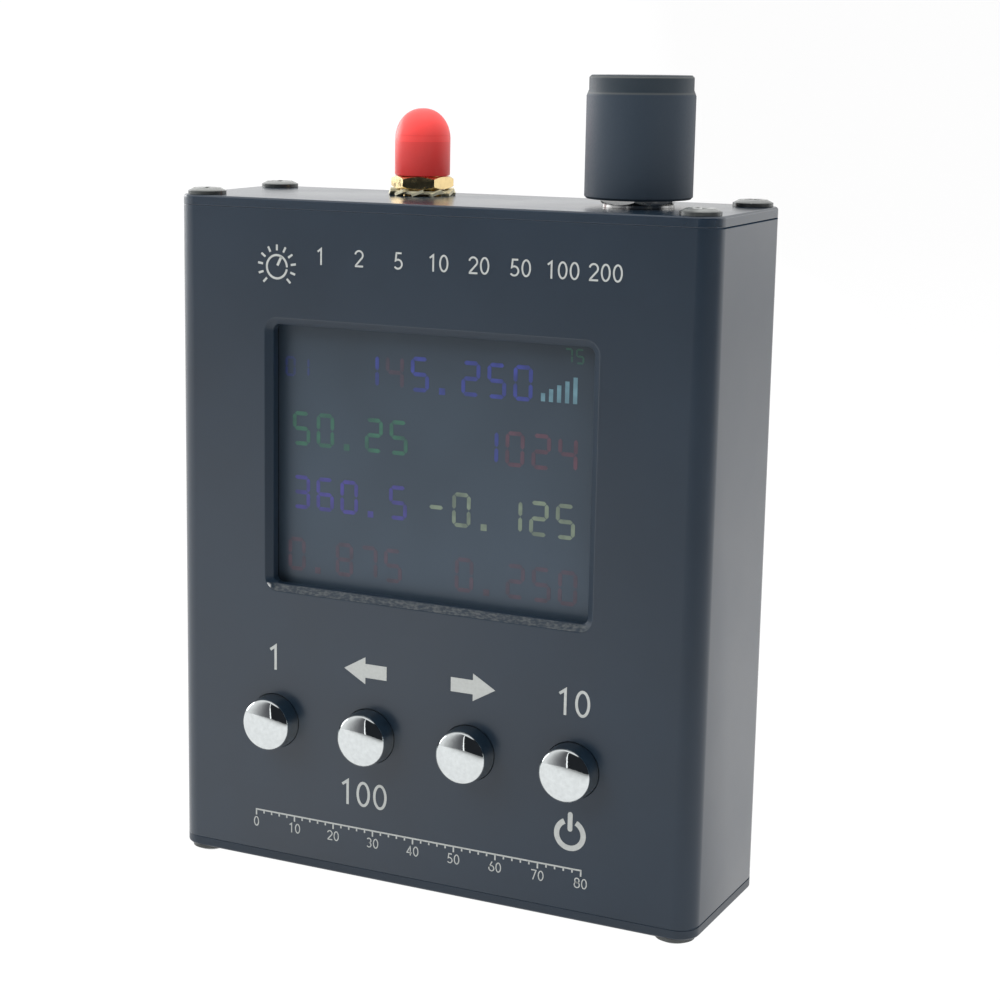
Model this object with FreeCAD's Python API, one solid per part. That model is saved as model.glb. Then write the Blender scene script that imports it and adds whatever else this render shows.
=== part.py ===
import FreeCAD, Part
import math
import os
from FreeCAD import Vector

# Handheld antenna analyzer: an extruded case, two end plates, a display, four keys,
# a tuning knob on a push encoder, and a capped coaxial jack.  All sizes in millimetres.
#
# Frame: +Z up, the front panel looks along -Y, +X is right as the front is seen.
# The origin is under the middle of the object's outer box, where it stands.

# ---------------------------------------------------------------- driving dimensions
# case: a one-piece extruded sleeve closed by two flat end plates
body_width = 80.0
body_depth = 26.0
body_length = 92.75
corner_radius = 3.0
front_wall = 2.0
side_wall = 1.5
back_wall = 1.5
inner_corner_radius = 0.8
plate_thickness = 1.4
plate_edge_break = 0.25
plate_hole_clearance = 0.15

# case screws, in round ports that run the length of the sleeve
screw_side_inset = 3.4
screw_front_inset = 2.95
screw_shank_diameter = 2.9
screw_length = 8.0
screw_head_diameter = 5.4
screw_head_height = 0.9
screw_head_wall = 0.5
screw_crown_diameter = 3.8
cross_recess_width = 0.6
cross_recess_span = 2.6
cross_recess_depth = 0.45
cross_recess_turn = 35.0
cross_recess_scatter = 13.0
port_wall = 0.9
port_slit = 1.2
screw_fit = 0.05

# display window in the front wall
window_width = 48.2
window_height = 36.9
window_corner_radius = 1.0
window_flare_width = 1.0
window_flare_depth = 0.75
window_centre_x = -0.4
window_centre_up = 59.72

# display module behind the window
gasket_thickness = 0.9
gasket_width = 1.6
gasket_reveal = 0.4
glass_thickness = 1.4
glass_in_tray = 0.7
tray_floor = 0.4
tray_rim = 0.7
tray_fit = 0.1
tray_notch_gap = 0.3
light_guide_thickness = 1.0
display_left_border = 2.9
display_port_gap = 2.5
display_top_border = 2.6
display_bottom_border = 2.9
driver_chip_share = 0.4
driver_chip_thickness = 0.4
driver_chip_length = 18.0
tape_thickness = 0.8
tape_width = 6.0
tape_inset = 3.0
flex_width = 22.0
flex_thickness = 0.15
flex_bend_gap = 0.15
flex_tail = 7.0

# circuit boards, in slots between ribs on the side walls
board_thickness = 1.6
board_edge_gap = 0.2
board_bottom_gap = 0.5
board_top_gap = 0.1
slot_clearance = 0.15
rib_thickness = 0.95
rib_height = 1.6
notch_clearance = 0.5

# chips: (share of the way from the middle to a side rib, share of the board's height, width)
chip_rise = 1.2
large_chip = 7.0
medium_chip = 4.5
small_chip = 3.0
front_chip_places = [(0.54, 0.45, large_chip), (0.54, 0.60, medium_chip),
                     (0.78, 0.45, small_chip), (0.78, 0.57, medium_chip),
                     (-0.92, 0.13, small_chip), (-0.92, 0.22, small_chip)]
radio_chip_places = [(-0.65, 0.38, large_chip), (-0.22, 0.38, medium_chip),
                     (0.16, 0.42, medium_chip), (0.49, 0.34, large_chip),
                     (-0.65, 0.23, medium_chip), (-0.22, 0.20, small_chip)]

# keys: switches on the front board under loose caps
key_count = 4
key_pitch = 15.4
key_row_centre_x = -0.82
key_row_up = 21.15
key_diameter = 7.45
key_proud = 3.7
key_dome_rise = 1.25
key_dome_steps = 3
key_gap = 0.25
key_travel = 0.25
key_stop_gap = 0.2
key_flange_thickness = 0.5
key_flange_lip = 0.8
key_wall_gap = 0.45
switch_width = 6.0
switch_cover_thickness = 0.3
switch_floor = 0.7
switch_leg_width = 0.7
switch_leg_thickness = 0.2
switch_leg_reach = 0.9
plunger_diameter = 3.4
plunger_fit = 0.05
plunger_in_cap = 1.6
plunger_floor_gap = 0.15
plunger_end_gap = 0.1

# tuning knob and push encoder
knob_from_side = 15.8
knob_from_back = 13.0
knob_diameter = 14.3
knob_ring_diameter = 13.7
knob_height = 16.0
knob_ring_height = 1.9
knob_plate_gap = 1.1
knob_wall = 0.95
knob_top_thickness = 2.2
knob_hub_diameter = 9.0
knob_rib_count = 6
knob_rib_thickness = 0.8
knob_rib_drop = 1.0
knob_edge_break = 0.3
knob_step_rise = 0.75
push_travel = 0.5
push_stop_gap = 0.4
push_floor_gap = 0.2
shaft_diameter = 6.0
shaft_flat = 1.5
shaft_flat_lead = 0.2
shaft_top_gap = 0.3
shaft_fit = 0.05
knob_bore_fit = 0.02
bushing_diameter = 7.0
bushing_above_plate = 3.0
encoder_width = 12.0
encoder_height = 6.5
encoder_well_gap = 0.3
encoder_floor = 1.2
encoder_frame_thickness = 0.4
encoder_frame_inset = 1.0
encoder_nut_flats = 9.4
encoder_nut_height = 2.0
encoder_nut_chamfer = 0.45
encoder_nut_turn = -13.8
encoder_nut_fit = 0.05
encoder_washer_diameter = 9.6
encoder_washer_thickness = 0.4
push_pin_diameter = 3.0
push_pin_length = 1.6
encoder_pin_count = 5
encoder_pin_size = 0.6
encoder_pin_pitch = 2.5
encoder_pin_drop = 2.2
encoder_pin_inset = 2.2

# coaxial jack: quarter inch thread, on the top edge of the radio board
jack_from_side = 29.4
jack_from_back = 7.5
jack_thread_diameter = 6.35
jack_above_plate = 7.9
jack_flange_width = 8.0
jack_flange_thickness = 2.2
jack_prong_length = 4.0
jack_prong_thickness = 1.1
jack_prong_width = 1.6
jack_mouth_diameter = 4.65
jack_mouth_depth = 1.9
jack_dielectric_diameter = 4.1
jack_contact_diameter = 1.27
jack_contact_bore = 0.94
jack_contact_bore_depth = 2.4
jack_pin_diameter = 0.8
jack_pin_tail = 2.5
jack_pin_overlap = 0.5
jack_nut_flats = 7.7
jack_nut_height = 1.7
jack_nut_chamfer = 0.35
jack_nut_turn = 18.8
jack_nut_fit = 0.06
lock_washer_diameter = 9.3
lock_washer_ring_width = 0.7
lock_washer_thickness = 0.42
lock_washer_teeth = 10
lock_washer_tooth_width = 1.7
lock_washer_tooth_root = 0.15
lock_washer_twist = 20.0

# push-on dust cap over the jack
cap_wall = 0.68
cap_fit = 0.045
cap_seat_gap = 0.1
cap_above_plate = 12.1
cap_dome_rise = 4.4
cap_dome_steps = 4
cap_crown = 0.9
cap_end_gap = 0.15
cap_room_taper = 0.5

# battery cell between the boards, with its plug and leads
battery_air_gap = 1.6
battery_width = 34.0
battery_height = 50.0
battery_round = 1.2
battery_from_side = 11.0
battery_up = 14.0
battery_tape_thickness = 0.3
battery_tape_inset = 5.0
battery_lead_diameter = 1.2
battery_lead_length = 7.0
battery_lead_pitch = 2.0
battery_plug_width = 7.6
battery_plug_height = 6.0
battery_plug_depth = 4.6

# charging socket on the lower edge of the front board
usb_from_side = 22.0
usb_width = 7.5
usb_depth = 2.6
usb_length = 5.2
usb_wall = 0.3
usb_corner_radius = 0.8
usb_tongue_width = 3.6
usb_tongue_thickness = 0.6
usb_tongue_length = 3.4
usb_recess = 0.3
usb_opening_clearance = 0.4

# header that joins the two boards, and the screening can on the radio board
header_from_side = 13.0
header_up = 8.0
header_width = 15.0
header_height = 2.6
shield_width = 34.0
shield_height = 30.0
shield_depth = 2.8
shield_wall = 0.3
shield_drop = 9.0

# how far a cutting shape runs past the face that it opens, and the least flat between two rounds
overrun = 1.0
least_flat = 0.01

# ---------------------------------------------------------------- derived places
plate_low = screw_head_height
sleeve_low = plate_low + plate_thickness
sleeve_high = sleeve_low + body_length
top_face = sleeve_high + plate_thickness
front_face = -body_depth / 2
back_face = body_depth / 2
front_inside = front_face + front_wall
back_inside = back_face - back_wall
side_inside = body_width / 2 - side_wall
rib_inside = side_inside - rib_height
case_shift_y = key_proud / 2

knob_x = body_width / 2 - knob_from_side
knob_y = back_face - knob_from_back
jack_x = jack_from_side - body_width / 2
jack_y = back_face - jack_from_back
screw_x = body_width / 2 - screw_side_inset
screw_y = body_depth / 2 - screw_front_inset
screw_hole_radius = screw_shank_diameter / 2 + screw_fit
port_radius = screw_hole_radius + port_wall

window_z = plate_low + window_centre_up
window_right = window_centre_x + window_width / 2
glass_front = front_inside + gasket_thickness
glass_step = glass_front + glass_thickness / 2
glass_back = glass_front + glass_thickness
tray_front = glass_back - glass_in_tray
tray_back = glass_back + light_guide_thickness + tray_floor
board_front = tray_back + tape_thickness
board_back = board_front + board_thickness
display_left = window_centre_x - window_width / 2 - display_left_border
display_right = screw_x - port_radius - display_port_gap
display_low = window_z - window_height / 2 - display_bottom_border
display_high = window_z + window_height / 2 + display_top_border
pocket_inset = tray_rim + tray_fit
front_glass_right = (window_right + display_right) / 2
rear_glass_right = display_right - pocket_inset

radio_back = jack_y - jack_pin_diameter / 2
radio_front = radio_back - board_thickness
board_low = sleeve_low + board_bottom_gap
board_high = sleeve_high - jack_flange_thickness - board_top_gap
board_half_width = side_inside - board_edge_gap
encoder_low = sleeve_high - encoder_height
battery_x = battery_from_side + battery_width / 2 - body_width / 2
battery_low = plate_low + battery_up
battery_thickness = radio_front - board_back - battery_tape_thickness - battery_air_gap
usb_x = usb_from_side - body_width / 2
usb_y = board_back + usb_depth / 2
usb_low = plate_low + usb_recess
header_x = body_width / 2 - header_from_side

key_z = plate_low + key_row_up
key_flange_front = front_inside + key_wall_gap
key_flange_back = key_flange_front + key_flange_thickness
switch_front = key_flange_back + key_travel + key_stop_gap
switch_floor_y = board_front - switch_floor

nut_top = encoder_washer_thickness + encoder_nut_height
knob_low = top_face + knob_plate_gap
knob_high = knob_low + knob_height
hub_low = top_face + max(nut_top, bushing_above_plate) + push_travel + push_stop_gap
shaft_high = knob_high - knob_top_thickness - shaft_top_gap
push_pin_low = encoder_low + encoder_floor + push_travel + push_floor_gap
shaft_low = push_pin_low + push_pin_length
twist = math.radians(lock_washer_twist)
washer_rise = lock_washer_tooth_width * math.sin(twist) + lock_washer_thickness * math.cos(twist)
jack_nut_low = top_face + washer_rise
jack_flange_low = sleeve_high - jack_flange_thickness
jack_high = top_face + jack_above_plate
jack_mouth_low = jack_high - jack_mouth_depth
cap_low = jack_nut_low + jack_nut_height + cap_seat_gap
cap_high = top_face + cap_above_plate

key_places = [key_row_centre_x + key_pitch * (i - (key_count - 1) / 2) for i in range(key_count)]


# ---------------------------------------------------------------- shape helpers
def box(x0, x1, y0, y1, z0, z1):
    return Part.makeBox(x1 - x0, y1 - y0, z1 - z0, Vector(x0, y0, z0))


def upright(radius, low, high, x=0.0, y=0.0):
    return Part.makeCylinder(radius, high - low, Vector(x, y, low), Vector(0, 0, 1))


def inward(radius, front, back, x, z):
    """A cylinder along +Y, from front to back."""
    return Part.makeCylinder(radius, back - front, Vector(x, front, z), Vector(0, 1, 0))


def fused(shapes):
    return shapes[0].fuse(shapes[1:]).removeSplitter()


def rounded_wire(width, height, radius):
    """A rounded rectangle about the origin in the XY plane."""
    w, h = width / 2, height / 2
    r = min(radius, w - least_flat, h - least_flat)
    k = r * (1 - math.sqrt(0.5))
    edges = []
    corners = ((1, 1), (-1, 1), (-1, -1), (1, -1))
    for i, (sx, sy) in enumerate(corners):
        ends = [Vector(sx * w, sy * (h - r), 0), Vector(sx * (w - r), sy * h, 0)]
        if sx * sy < 0:
            ends.reverse()
        middle = Vector(sx * (w - k), sy * (h - k), 0)
        edges.append(Part.Arc(ends[0], middle, ends[1]).toShape())
        nx, ny = corners[(i + 1) % 4]
        if nx * ny > 0:
            stop = Vector(nx * w, ny * (h - r), 0)
        else:
            stop = Vector(nx * (w - r), ny * h, 0)
        edges.append(Part.makeLine(ends[1], stop))
    return Part.Wire(edges)


def column(width, depth, radius, low, high, x=0.0, y=0.0):
    """A rounded rectangle in plan, raised from low to high."""
    face = Part.Face(rounded_wire(width, depth, radius))
    solid = face.extrude(Vector(0, 0, high - low))
    solid.translate(Vector(x, y, low))
    return solid


def panel_wire(width, height, radius, x, y, z):
    """A rounded rectangle that faces along Y, centred on (x, y, z)."""
    wire = rounded_wire(width, height, radius)
    wire.rotate(Vector(0, 0, 0), Vector(1, 0, 0), 90)
    wire.translate(Vector(x, y, z))
    return wire


def panel(width, height, radius, front, back, x, z):
    """A rounded rectangle as the front shows it, carried from front to back."""
    face = Part.Face(panel_wire(width, height, radius, x, front, z))
    return face.extrude(Vector(0, back - front, 0))


def turned(points):
    """A closed profile of (radius, height) points turned about the Z axis."""
    corners = [Vector(r, 0, h) for r, h in points]
    face = Part.Face(Part.makePolygon(corners + corners[:1]))
    return face.revolve(Vector(0, 0, 0), Vector(0, 0, 1), 360)


def dome_points(radius, rise, low, steps):
    """A quarter ellipse as (radius, height) points, from its rim at low up to the axis."""
    turns = [math.pi / 2 * i / steps for i in range(steps)]
    curve = [(radius * math.cos(a), low + rise * math.sin(a)) for a in turns]
    return curve + [(0, low + rise)]


def hex_nut(flats, height, hole_radius, chamfer):
    """A hexagon nut whose rims are both turned down to cones; one flat faces -Y."""
    corner = flats / math.sqrt(3)
    points = [Vector(corner * math.cos(math.radians(60 * i)),
                     corner * math.sin(math.radians(60 * i)), 0) for i in range(7)]
    prism = Part.Face(Part.makePolygon(points)).extrude(Vector(0, 0, height))
    reach = corner + least_flat
    cones = turned([(0, 0), (flats / 2, 0), (reach, chamfer), (reach, height - chamfer),
                    (flats / 2, height), (0, height)])
    return prism.common(cones).cut(upright(hole_radius, -overrun, height + overrun))


# ---------------------------------------------------------------- case
def screw_places():
    return [(sx * screw_x, sy * screw_y) for sx in (-1, 1) for sy in (-1, 1)]


def slot_ribs(front, back):
    """Two pairs of ribs that hold a board between front and back."""
    ribs = []
    for low_y in (front - slot_clearance - rib_thickness, back + slot_clearance):
        for side in (-1, 1):
            x0, x1 = sorted((side * rib_inside, side * (side_inside + side_wall / 2)))
            ribs.append(box(x0, x1, low_y, low_y + rib_thickness, sleeve_low, sleeve_high))
    return ribs


def window_cut():
    """The straight opening and the flare that breaks its outer edge."""
    straight = panel(window_width, window_height, window_corner_radius,
                     front_face - overrun, front_inside + overrun, window_centre_x, window_z)
    flare = window_flare_width
    wide = panel_wire(window_width + 2 * flare, window_height + 2 * flare,
                      window_corner_radius + flare, window_centre_x, front_face, window_z)
    narrow = panel_wire(window_width, window_height, window_corner_radius,
                        window_centre_x, front_face + window_flare_depth, window_z)
    return [straight, Part.makeLoft([wide, narrow], True, True)]


def extruded_body():
    outer = column(body_width, body_depth, corner_radius, sleeve_low, sleeve_high)
    cavity = column(2 * side_inside, back_inside - front_inside, inner_corner_radius,
                    sleeve_low - overrun, sleeve_high + overrun, 0, (front_inside + back_inside) / 2)
    ports = [upright(port_radius, sleeve_low, sleeve_high, x, y) for x, y in screw_places()]
    ribs = slot_ribs(board_front, board_back) + slot_ribs(radio_front, radio_back)
    sleeve = fused([outer.cut(cavity)] + ports + ribs)
    holes = window_cut()
    for x, y in screw_places():
        holes.append(upright(screw_hole_radius, sleeve_low - overrun, sleeve_high + overrun, x, y))
        x0, x1 = sorted((x, x - math.copysign(port_radius + overrun, x)))
        holes.append(box(x0, x1, y - port_slit / 2, y + port_slit / 2,
                         sleeve_low - overrun, sleeve_high + overrun))
    for x in key_places:
        holes.append(inward(key_diameter / 2 + key_gap, front_face - overrun,
                            front_inside + overrun, x, key_z))
    return sleeve.cut(holes)


def end_plate(low, outer_level):
    """A flat end plate whose rim is broken by a small chamfer at outer_level."""
    plate = column(body_width, body_depth, corner_radius, low, low + plate_thickness)
    rim = [e for e in plate.Edges if all(abs(v.Z - outer_level) < 1e-6 for v in e.Vertexes)]
    plate = plate.makeChamfer(plate_edge_break, rim)
    radius = screw_shank_diameter / 2 + plate_hole_clearance
    return plate.cut([upright(radius, low - overrun, low + plate_thickness + overrun, x, y)
                      for x, y in screw_places()])


def top_plate():
    holes = [upright(diameter / 2 + plate_hole_clearance, sleeve_high - overrun,
                     top_face + overrun, x, y)
             for diameter, x, y in ((jack_thread_diameter, jack_x, jack_y),
                                    (bushing_diameter, knob_x, knob_y))]
    return end_plate(sleeve_high, top_face).cut(holes)


def bottom_plate():
    gap = 2 * usb_opening_clearance
    mouth = column(usb_width + gap, usb_depth + gap, (usb_depth + gap) / 2,
                   plate_low - overrun, sleeve_low + overrun, usb_x, usb_y)
    return end_plate(plate_low, plate_low).cut(mouth)


def case_screw(x, y, seat, up):
    """A cross-recess screw with a low crowned head; up is +1 for the top plate."""
    head, shank, high = screw_head_diameter / 2, screw_shank_diameter / 2, screw_head_height
    screw = turned([(0, -screw_length), (shank, -screw_length), (shank, 0), (head, 0),
                    (head, screw_head_wall), (screw_crown_diameter / 2, high), (0, high)])
    for turn in (0, 90):
        slot = box(-cross_recess_span / 2, cross_recess_span / 2, -cross_recess_width / 2,
                   cross_recess_width / 2, high - cross_recess_depth, high + overrun)
        slot.rotate(Vector(0, 0, 0), Vector(0, 0, 1),
                    cross_recess_turn + turn + cross_recess_scatter * x / screw_x)
        screw = screw.cut(slot)
    if up < 0:
        screw.rotate(Vector(0, 0, 0), Vector(1, 0, 0), 180)
    screw.translate(Vector(x, y, seat))
    return screw


def case_screws(seat, up):
    return Part.makeCompound([case_screw(x, y, seat, up) for x, y in screw_places()])


# ---------------------------------------------------------------- display
def display_gasket():
    """A foam frame between the panel and the glass, set back a little from the window."""
    ring = panel(window_width + 2 * (gasket_reveal + gasket_width),
                 window_height + 2 * (gasket_reveal + gasket_width),
                 window_corner_radius + gasket_width, front_inside, glass_front,
                 window_centre_x, window_z)
    hole = panel(window_width + 2 * gasket_reveal, window_height + 2 * gasket_reveal,
                 window_corner_radius, front_inside - overrun, glass_front + overrun,
                 window_centre_x, window_z)
    return ring.cut(hole)


def display_block(front, back, inset):
    """A block of the display's outline, drawn in by inset on every side."""
    return box(display_left + inset, display_right - inset, front, back,
               display_low + inset, display_high - inset)


def display_glass():
    """Two bonded plates: the rear one runs on past the front one to carry the driver chip."""
    rear = display_block(glass_step, glass_back, pocket_inset)
    front = box(display_left + pocket_inset, front_glass_right, glass_front, glass_step,
                display_low + pocket_inset, display_high - pocket_inset)
    return fused([rear, front])


def display_driver_chip():
    """A slim chip on the ledge of the rear plate."""
    middle = (front_glass_right + rear_glass_right) / 2
    half = (rear_glass_right - front_glass_right) * driver_chip_share / 2
    return box(middle - half, middle + half, glass_step - driver_chip_thickness, glass_step,
               window_z - driver_chip_length / 2, window_z + driver_chip_length / 2)


def display_light_guide():
    return display_block(glass_back, glass_back + light_guide_thickness, pocket_inset)


def display_tray():
    """A pressed tray round the glass and light guide, notched where the flex leaves."""
    tray = display_block(tray_front, tray_back, 0)
    pocket = display_block(tray_front - overrun, tray_back - tray_floor, tray_rim)
    half = flex_width / 2 + tray_notch_gap
    notch = box(display_right - tray_rim - overrun, display_right + overrun,
                tray_front - overrun, glass_back, window_z - half, window_z + half)
    return tray.cut([pocket, notch])


def display_flex():
    """A film that leaves the glass edge, turns back round the tray and lies on the board."""
    low = window_z - flex_width / 2
    near = glass_back - glass_thickness / 4
    far = board_front - flex_thickness / 2
    radius = (far - near) / 2
    bend = display_right + flex_bend_gap
    centre = Vector(bend, near + radius, low)
    outer, inner = radius + flex_thickness / 2, radius - flex_thickness / 2

    def half_turn(r):
        return Part.Arc(centre + Vector(0, -r, 0), centre + Vector(r, 0, 0),
                        centre + Vector(0, r, 0)).toShape()

    def end_of_film(x, side):
        """The two long edges and the cut end of one straight run, from the inside out."""
        corners = [Vector(bend, centre.y + side * inner, low), Vector(x, centre.y + side * inner, low),
                   Vector(x, centre.y + side * outer, low), Vector(bend, centre.y + side * outer, low)]
        return [Part.makeLine(corners[i], corners[i + 1]) for i in range(3)]

    edges = end_of_film(rear_glass_right, -1) + end_of_film(display_right - flex_tail, 1)
    edges += [half_turn(inner), half_turn(outer)]
    wire = Part.Wire(Part.__sortEdges__(edges))
    return Part.Face(wire).extrude(Vector(0, 0, flex_width))


def display_tape():
    """Two foam strips that hold the display off the front board."""
    strips = [box(x, x + tape_width, tray_back, board_front,
                  display_low + tape_inset, display_high - tape_inset)
              for x in (display_left + tape_inset, window_centre_x)]
    return Part.makeCompound(strips)


# ---------------------------------------------------------------- boards
def board(front, back):
    """A board with a notch in its top edge round the encoder."""
    plate = box(-board_half_width, board_half_width, front, back, board_low, board_high)
    half = encoder_width / 2 + notch_clearance
    notch = box(knob_x - half, knob_x + half, front - overrun, back + overrun,
                encoder_low - notch_clearance, board_high + overrun)
    return plate.cut(notch)


def chips(face, places):
    """Plain chip bodies that stand on the rear face of a board."""
    solids = []
    for across, up, width in places:
        x = across * rib_inside
        z = board_low + up * (board_high - board_low)
        solids.append(box(x - width / 2, x + width / 2, face, face + chip_rise,
                          z - width / 2, z + width / 2))
    return Part.makeCompound(solids)


def shield_can():
    """A pressed tin can over the bridge circuit, open towards the radio board."""
    high = board_high - shield_drop
    low = high - shield_height
    x0, x1 = jack_x - shield_width / 2, jack_x + shield_width / 2
    w = shield_wall
    can = box(x0, x1, radio_back, radio_back + shield_depth, low, high)
    return can.cut(box(x0 + w, x1 - w, radio_back - overrun, radio_back + shield_depth - w,
                       low + w, high - w))


def board_header():
    low = board_low + header_up
    return box(header_x - header_width / 2, header_x + header_width / 2, board_back,
               radio_front, low, low + header_height)


# ---------------------------------------------------------------- keys
def key_cap(x):
    """A domed cap with a retaining flange behind the panel and a socket for the plunger."""
    r = key_diameter / 2
    flange = r + key_gap + key_flange_lip
    rim = key_flange_back - front_face + key_proud - key_dome_rise
    cap = turned([(0, 0), (flange, 0), (flange, key_flange_thickness), (r, key_flange_thickness)]
                 + dome_points(r, key_dome_rise, rim, key_dome_steps))
    socket = upright(plunger_diameter / 2 + plunger_fit / 2, -overrun,
                     plunger_in_cap + plunger_end_gap)
    cap = cap.cut(socket)
    cap.rotate(Vector(0, 0, 0), Vector(1, 0, 0), 90)
    cap.translate(Vector(x, key_flange_back, key_z))
    return cap


def switch_plunger(x):
    return inward(plunger_diameter / 2, key_flange_back - plunger_in_cap,
                  switch_floor_y - key_travel - plunger_floor_gap, x, key_z)


def switch_base(x):
    half = switch_width / 2
    base = box(x - half, x + half, switch_front + switch_cover_thickness, board_front,
               key_z - half, key_z + half)
    return base.cut(inward(plunger_diameter / 2 + plunger_fit, switch_front, switch_floor_y, x, key_z))


def switch_cover(x):
    half = switch_width / 2
    plate = box(x - half, x + half, switch_front, switch_front + switch_cover_thickness,
                key_z - half, key_z + half)
    return plate.cut(inward(plunger_diameter / 2 + plunger_fit, switch_front - overrun,
                            board_front, x, key_z))


def switch_legs(x):
    """Four flat legs, two on each side, that lie on the board."""
    legs = []
    half = switch_width / 2
    for side in (-1, 1):
        for up in (-1, 1):
            x0, x1 = sorted((x + side * half, x + side * (half + switch_leg_reach)))
            z = key_z + up * (half - switch_leg_width)
            legs.append(box(x0, x1, board_front - switch_leg_thickness, board_front,
                            z - switch_leg_width / 2, z + switch_leg_width / 2))
    return legs


# ---------------------------------------------------------------- encoder and knob
def at_knob(shape):
    shape.translate(Vector(knob_x, knob_y, 0))
    return shape


def d_section(radius, flat, low, high):
    """A round bar with one flat, on the vertical axis."""
    bar = upright(radius, low, high)
    return bar.cut(box(-radius, radius, radius - flat, radius, low, high))


def encoder_housing():
    """A moulded block with a well for the shaft and a blind hole for the push pin."""
    half = encoder_width / 2 - encoder_frame_thickness
    block = box(-half, half, -encoder_width / 2, encoder_width / 2, encoder_low,
                sleeve_high - encoder_frame_thickness)
    well = upright(shaft_diameter / 2 + encoder_well_gap, shaft_low - push_travel - encoder_well_gap,
                   sleeve_high)
    pin_hole = upright(push_pin_diameter / 2 + shaft_fit, encoder_low + encoder_floor, sleeve_high)
    return at_knob(block.cut([well, pin_hole]))


def encoder_frame():
    """A bent strap over the housing; its two legs clip down the sides."""
    half, t, inset = encoder_width / 2, encoder_frame_thickness, encoder_frame_inset
    low = encoder_low + inset
    block = box(-half, half, inset - half, half - inset, low, sleeve_high)
    room = box(t - half, half - t, -half, half, low - overrun, sleeve_high - t)
    hole = upright(bushing_diameter / 2, sleeve_high - overrun, sleeve_high + overrun)
    return at_knob(block.cut([room, hole]))


def encoder_bushing():
    low = sleeve_high - encoder_frame_thickness
    high = top_face + bushing_above_plate
    sleeve = upright(bushing_diameter / 2, low, high)
    return at_knob(sleeve.cut(upright(shaft_diameter / 2 + shaft_fit, low - overrun, high + overrun)))


def encoder_washer():
    high = top_face + encoder_washer_thickness
    ring = upright(encoder_washer_diameter / 2, top_face, high)
    hole = upright(bushing_diameter / 2 + encoder_nut_fit, top_face - overrun, high + overrun)
    return at_knob(ring.cut(hole))


def encoder_nut():
    nut = hex_nut(encoder_nut_flats, encoder_nut_height, bushing_diameter / 2 + encoder_nut_fit,
                  encoder_nut_chamfer)
    nut.rotate(Vector(0, 0, 0), Vector(0, 0, 1), encoder_nut_turn)
    nut.translate(Vector(0, 0, top_face + encoder_washer_thickness))
    return at_knob(nut)


def encoder_pins():
    """Bent terminals from under the housing to the back of the front board."""
    pins = []
    s = encoder_pin_size
    y = encoder_pin_inset - encoder_width / 2
    drop = encoder_low - encoder_pin_drop
    for i in range(encoder_pin_count):
        x = (i - (encoder_pin_count - 1) / 2) * encoder_pin_pitch - s / 2
        leg = box(x, x + s, y, y + s, drop, encoder_low)
        foot = box(x, x + s, board_back - knob_y, y + s, drop, drop + s)
        pins.append(fused([leg, foot]))
    return at_knob(Part.makeCompound(pins))


def push_pin():
    return at_knob(upright(push_pin_diameter / 2, push_pin_low, push_pin_low + push_pin_length))


def encoder_shaft():
    r = shaft_diameter / 2
    flat_low = hub_low - shaft_flat_lead
    return at_knob(fused([upright(r, shaft_low, flat_low),
                          d_section(r, shaft_flat, flat_low, shaft_high)]))


def tuning_knob():
    """A hollow moulding: thin skirt, solid crown, hub with a D bore, and stiffening ribs."""
    r, ring = knob_diameter / 2, knob_ring_diameter / 2
    k, step = knob_edge_break, knob_high - knob_ring_height
    knob = turned([(0, knob_low), (r - k, knob_low), (r, knob_low + k),
                   (r, step - knob_step_rise), (ring, step), (ring, knob_high - k),
                   (ring - k, knob_high), (0, knob_high)])
    hollow_high = knob_high - knob_top_thickness
    hollow = upright(r - knob_wall, knob_low - overrun, hollow_high)
    hub = upright(knob_hub_diameter / 2, hub_low, hollow_high)
    ribs = []
    for i in range(knob_rib_count):
        rib = box(0, r - knob_wall, -knob_rib_thickness / 2, knob_rib_thickness / 2,
                  hub_low + knob_rib_drop, hollow_high)
        rib.rotate(Vector(0, 0, 0), Vector(0, 0, 1), 360 * (i + 0.5) / knob_rib_count)
        ribs.append(rib)
    bore = d_section(shaft_diameter / 2 + knob_bore_fit, shaft_flat, hub_low - overrun,
                     shaft_high + shaft_top_gap)
    return at_knob(knob.cut(hollow.cut([hub] + ribs)).cut(bore))


# ---------------------------------------------------------------- coaxial jack
def at_jack(shape):
    shape.translate(Vector(jack_x, jack_y, 0))
    return shape


def jack_body():
    """Threaded barrel and square flange; two pairs of prongs straddle the radio board."""
    half, t = jack_flange_width / 2, jack_prong_thickness
    low = jack_flange_low - jack_prong_length
    pieces = [upright(jack_thread_diameter / 2, jack_flange_low, jack_high),
              box(-half, half, -half, half, jack_flange_low, sleeve_high)]
    for side in (-1, 1):
        x0, x1 = sorted((side * (half - jack_prong_width), side * half))
        for y0 in (radio_front - jack_y - t, radio_back - jack_y):
            pieces.append(box(x0, x1, y0, y0 + t, low, jack_flange_low))
    bore = upright(jack_dielectric_diameter / 2, low - overrun, jack_high + overrun)
    mouth = upright(jack_mouth_diameter / 2, jack_mouth_low, jack_high + overrun)
    return at_jack(fused(pieces).cut([bore, mouth]))


def jack_dielectric():
    core = upright(jack_dielectric_diameter / 2, jack_flange_low, jack_mouth_low)
    return at_jack(core.cut(upright(jack_contact_diameter / 2, jack_flange_low - overrun,
                                    jack_mouth_low + overrun)))


def jack_contact():
    """The centre contact: a split socket above and a solder pin below."""
    barrel = upright(jack_contact_diameter / 2, jack_flange_low, jack_mouth_low)
    bore = upright(jack_contact_bore / 2, jack_mouth_low - jack_contact_bore_depth,
                   jack_mouth_low + overrun)
    pin = upright(jack_pin_diameter / 2, jack_flange_low - jack_pin_tail,
                  jack_flange_low + jack_pin_overlap)
    return at_jack(fused([barrel.cut(bore), pin]))


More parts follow.
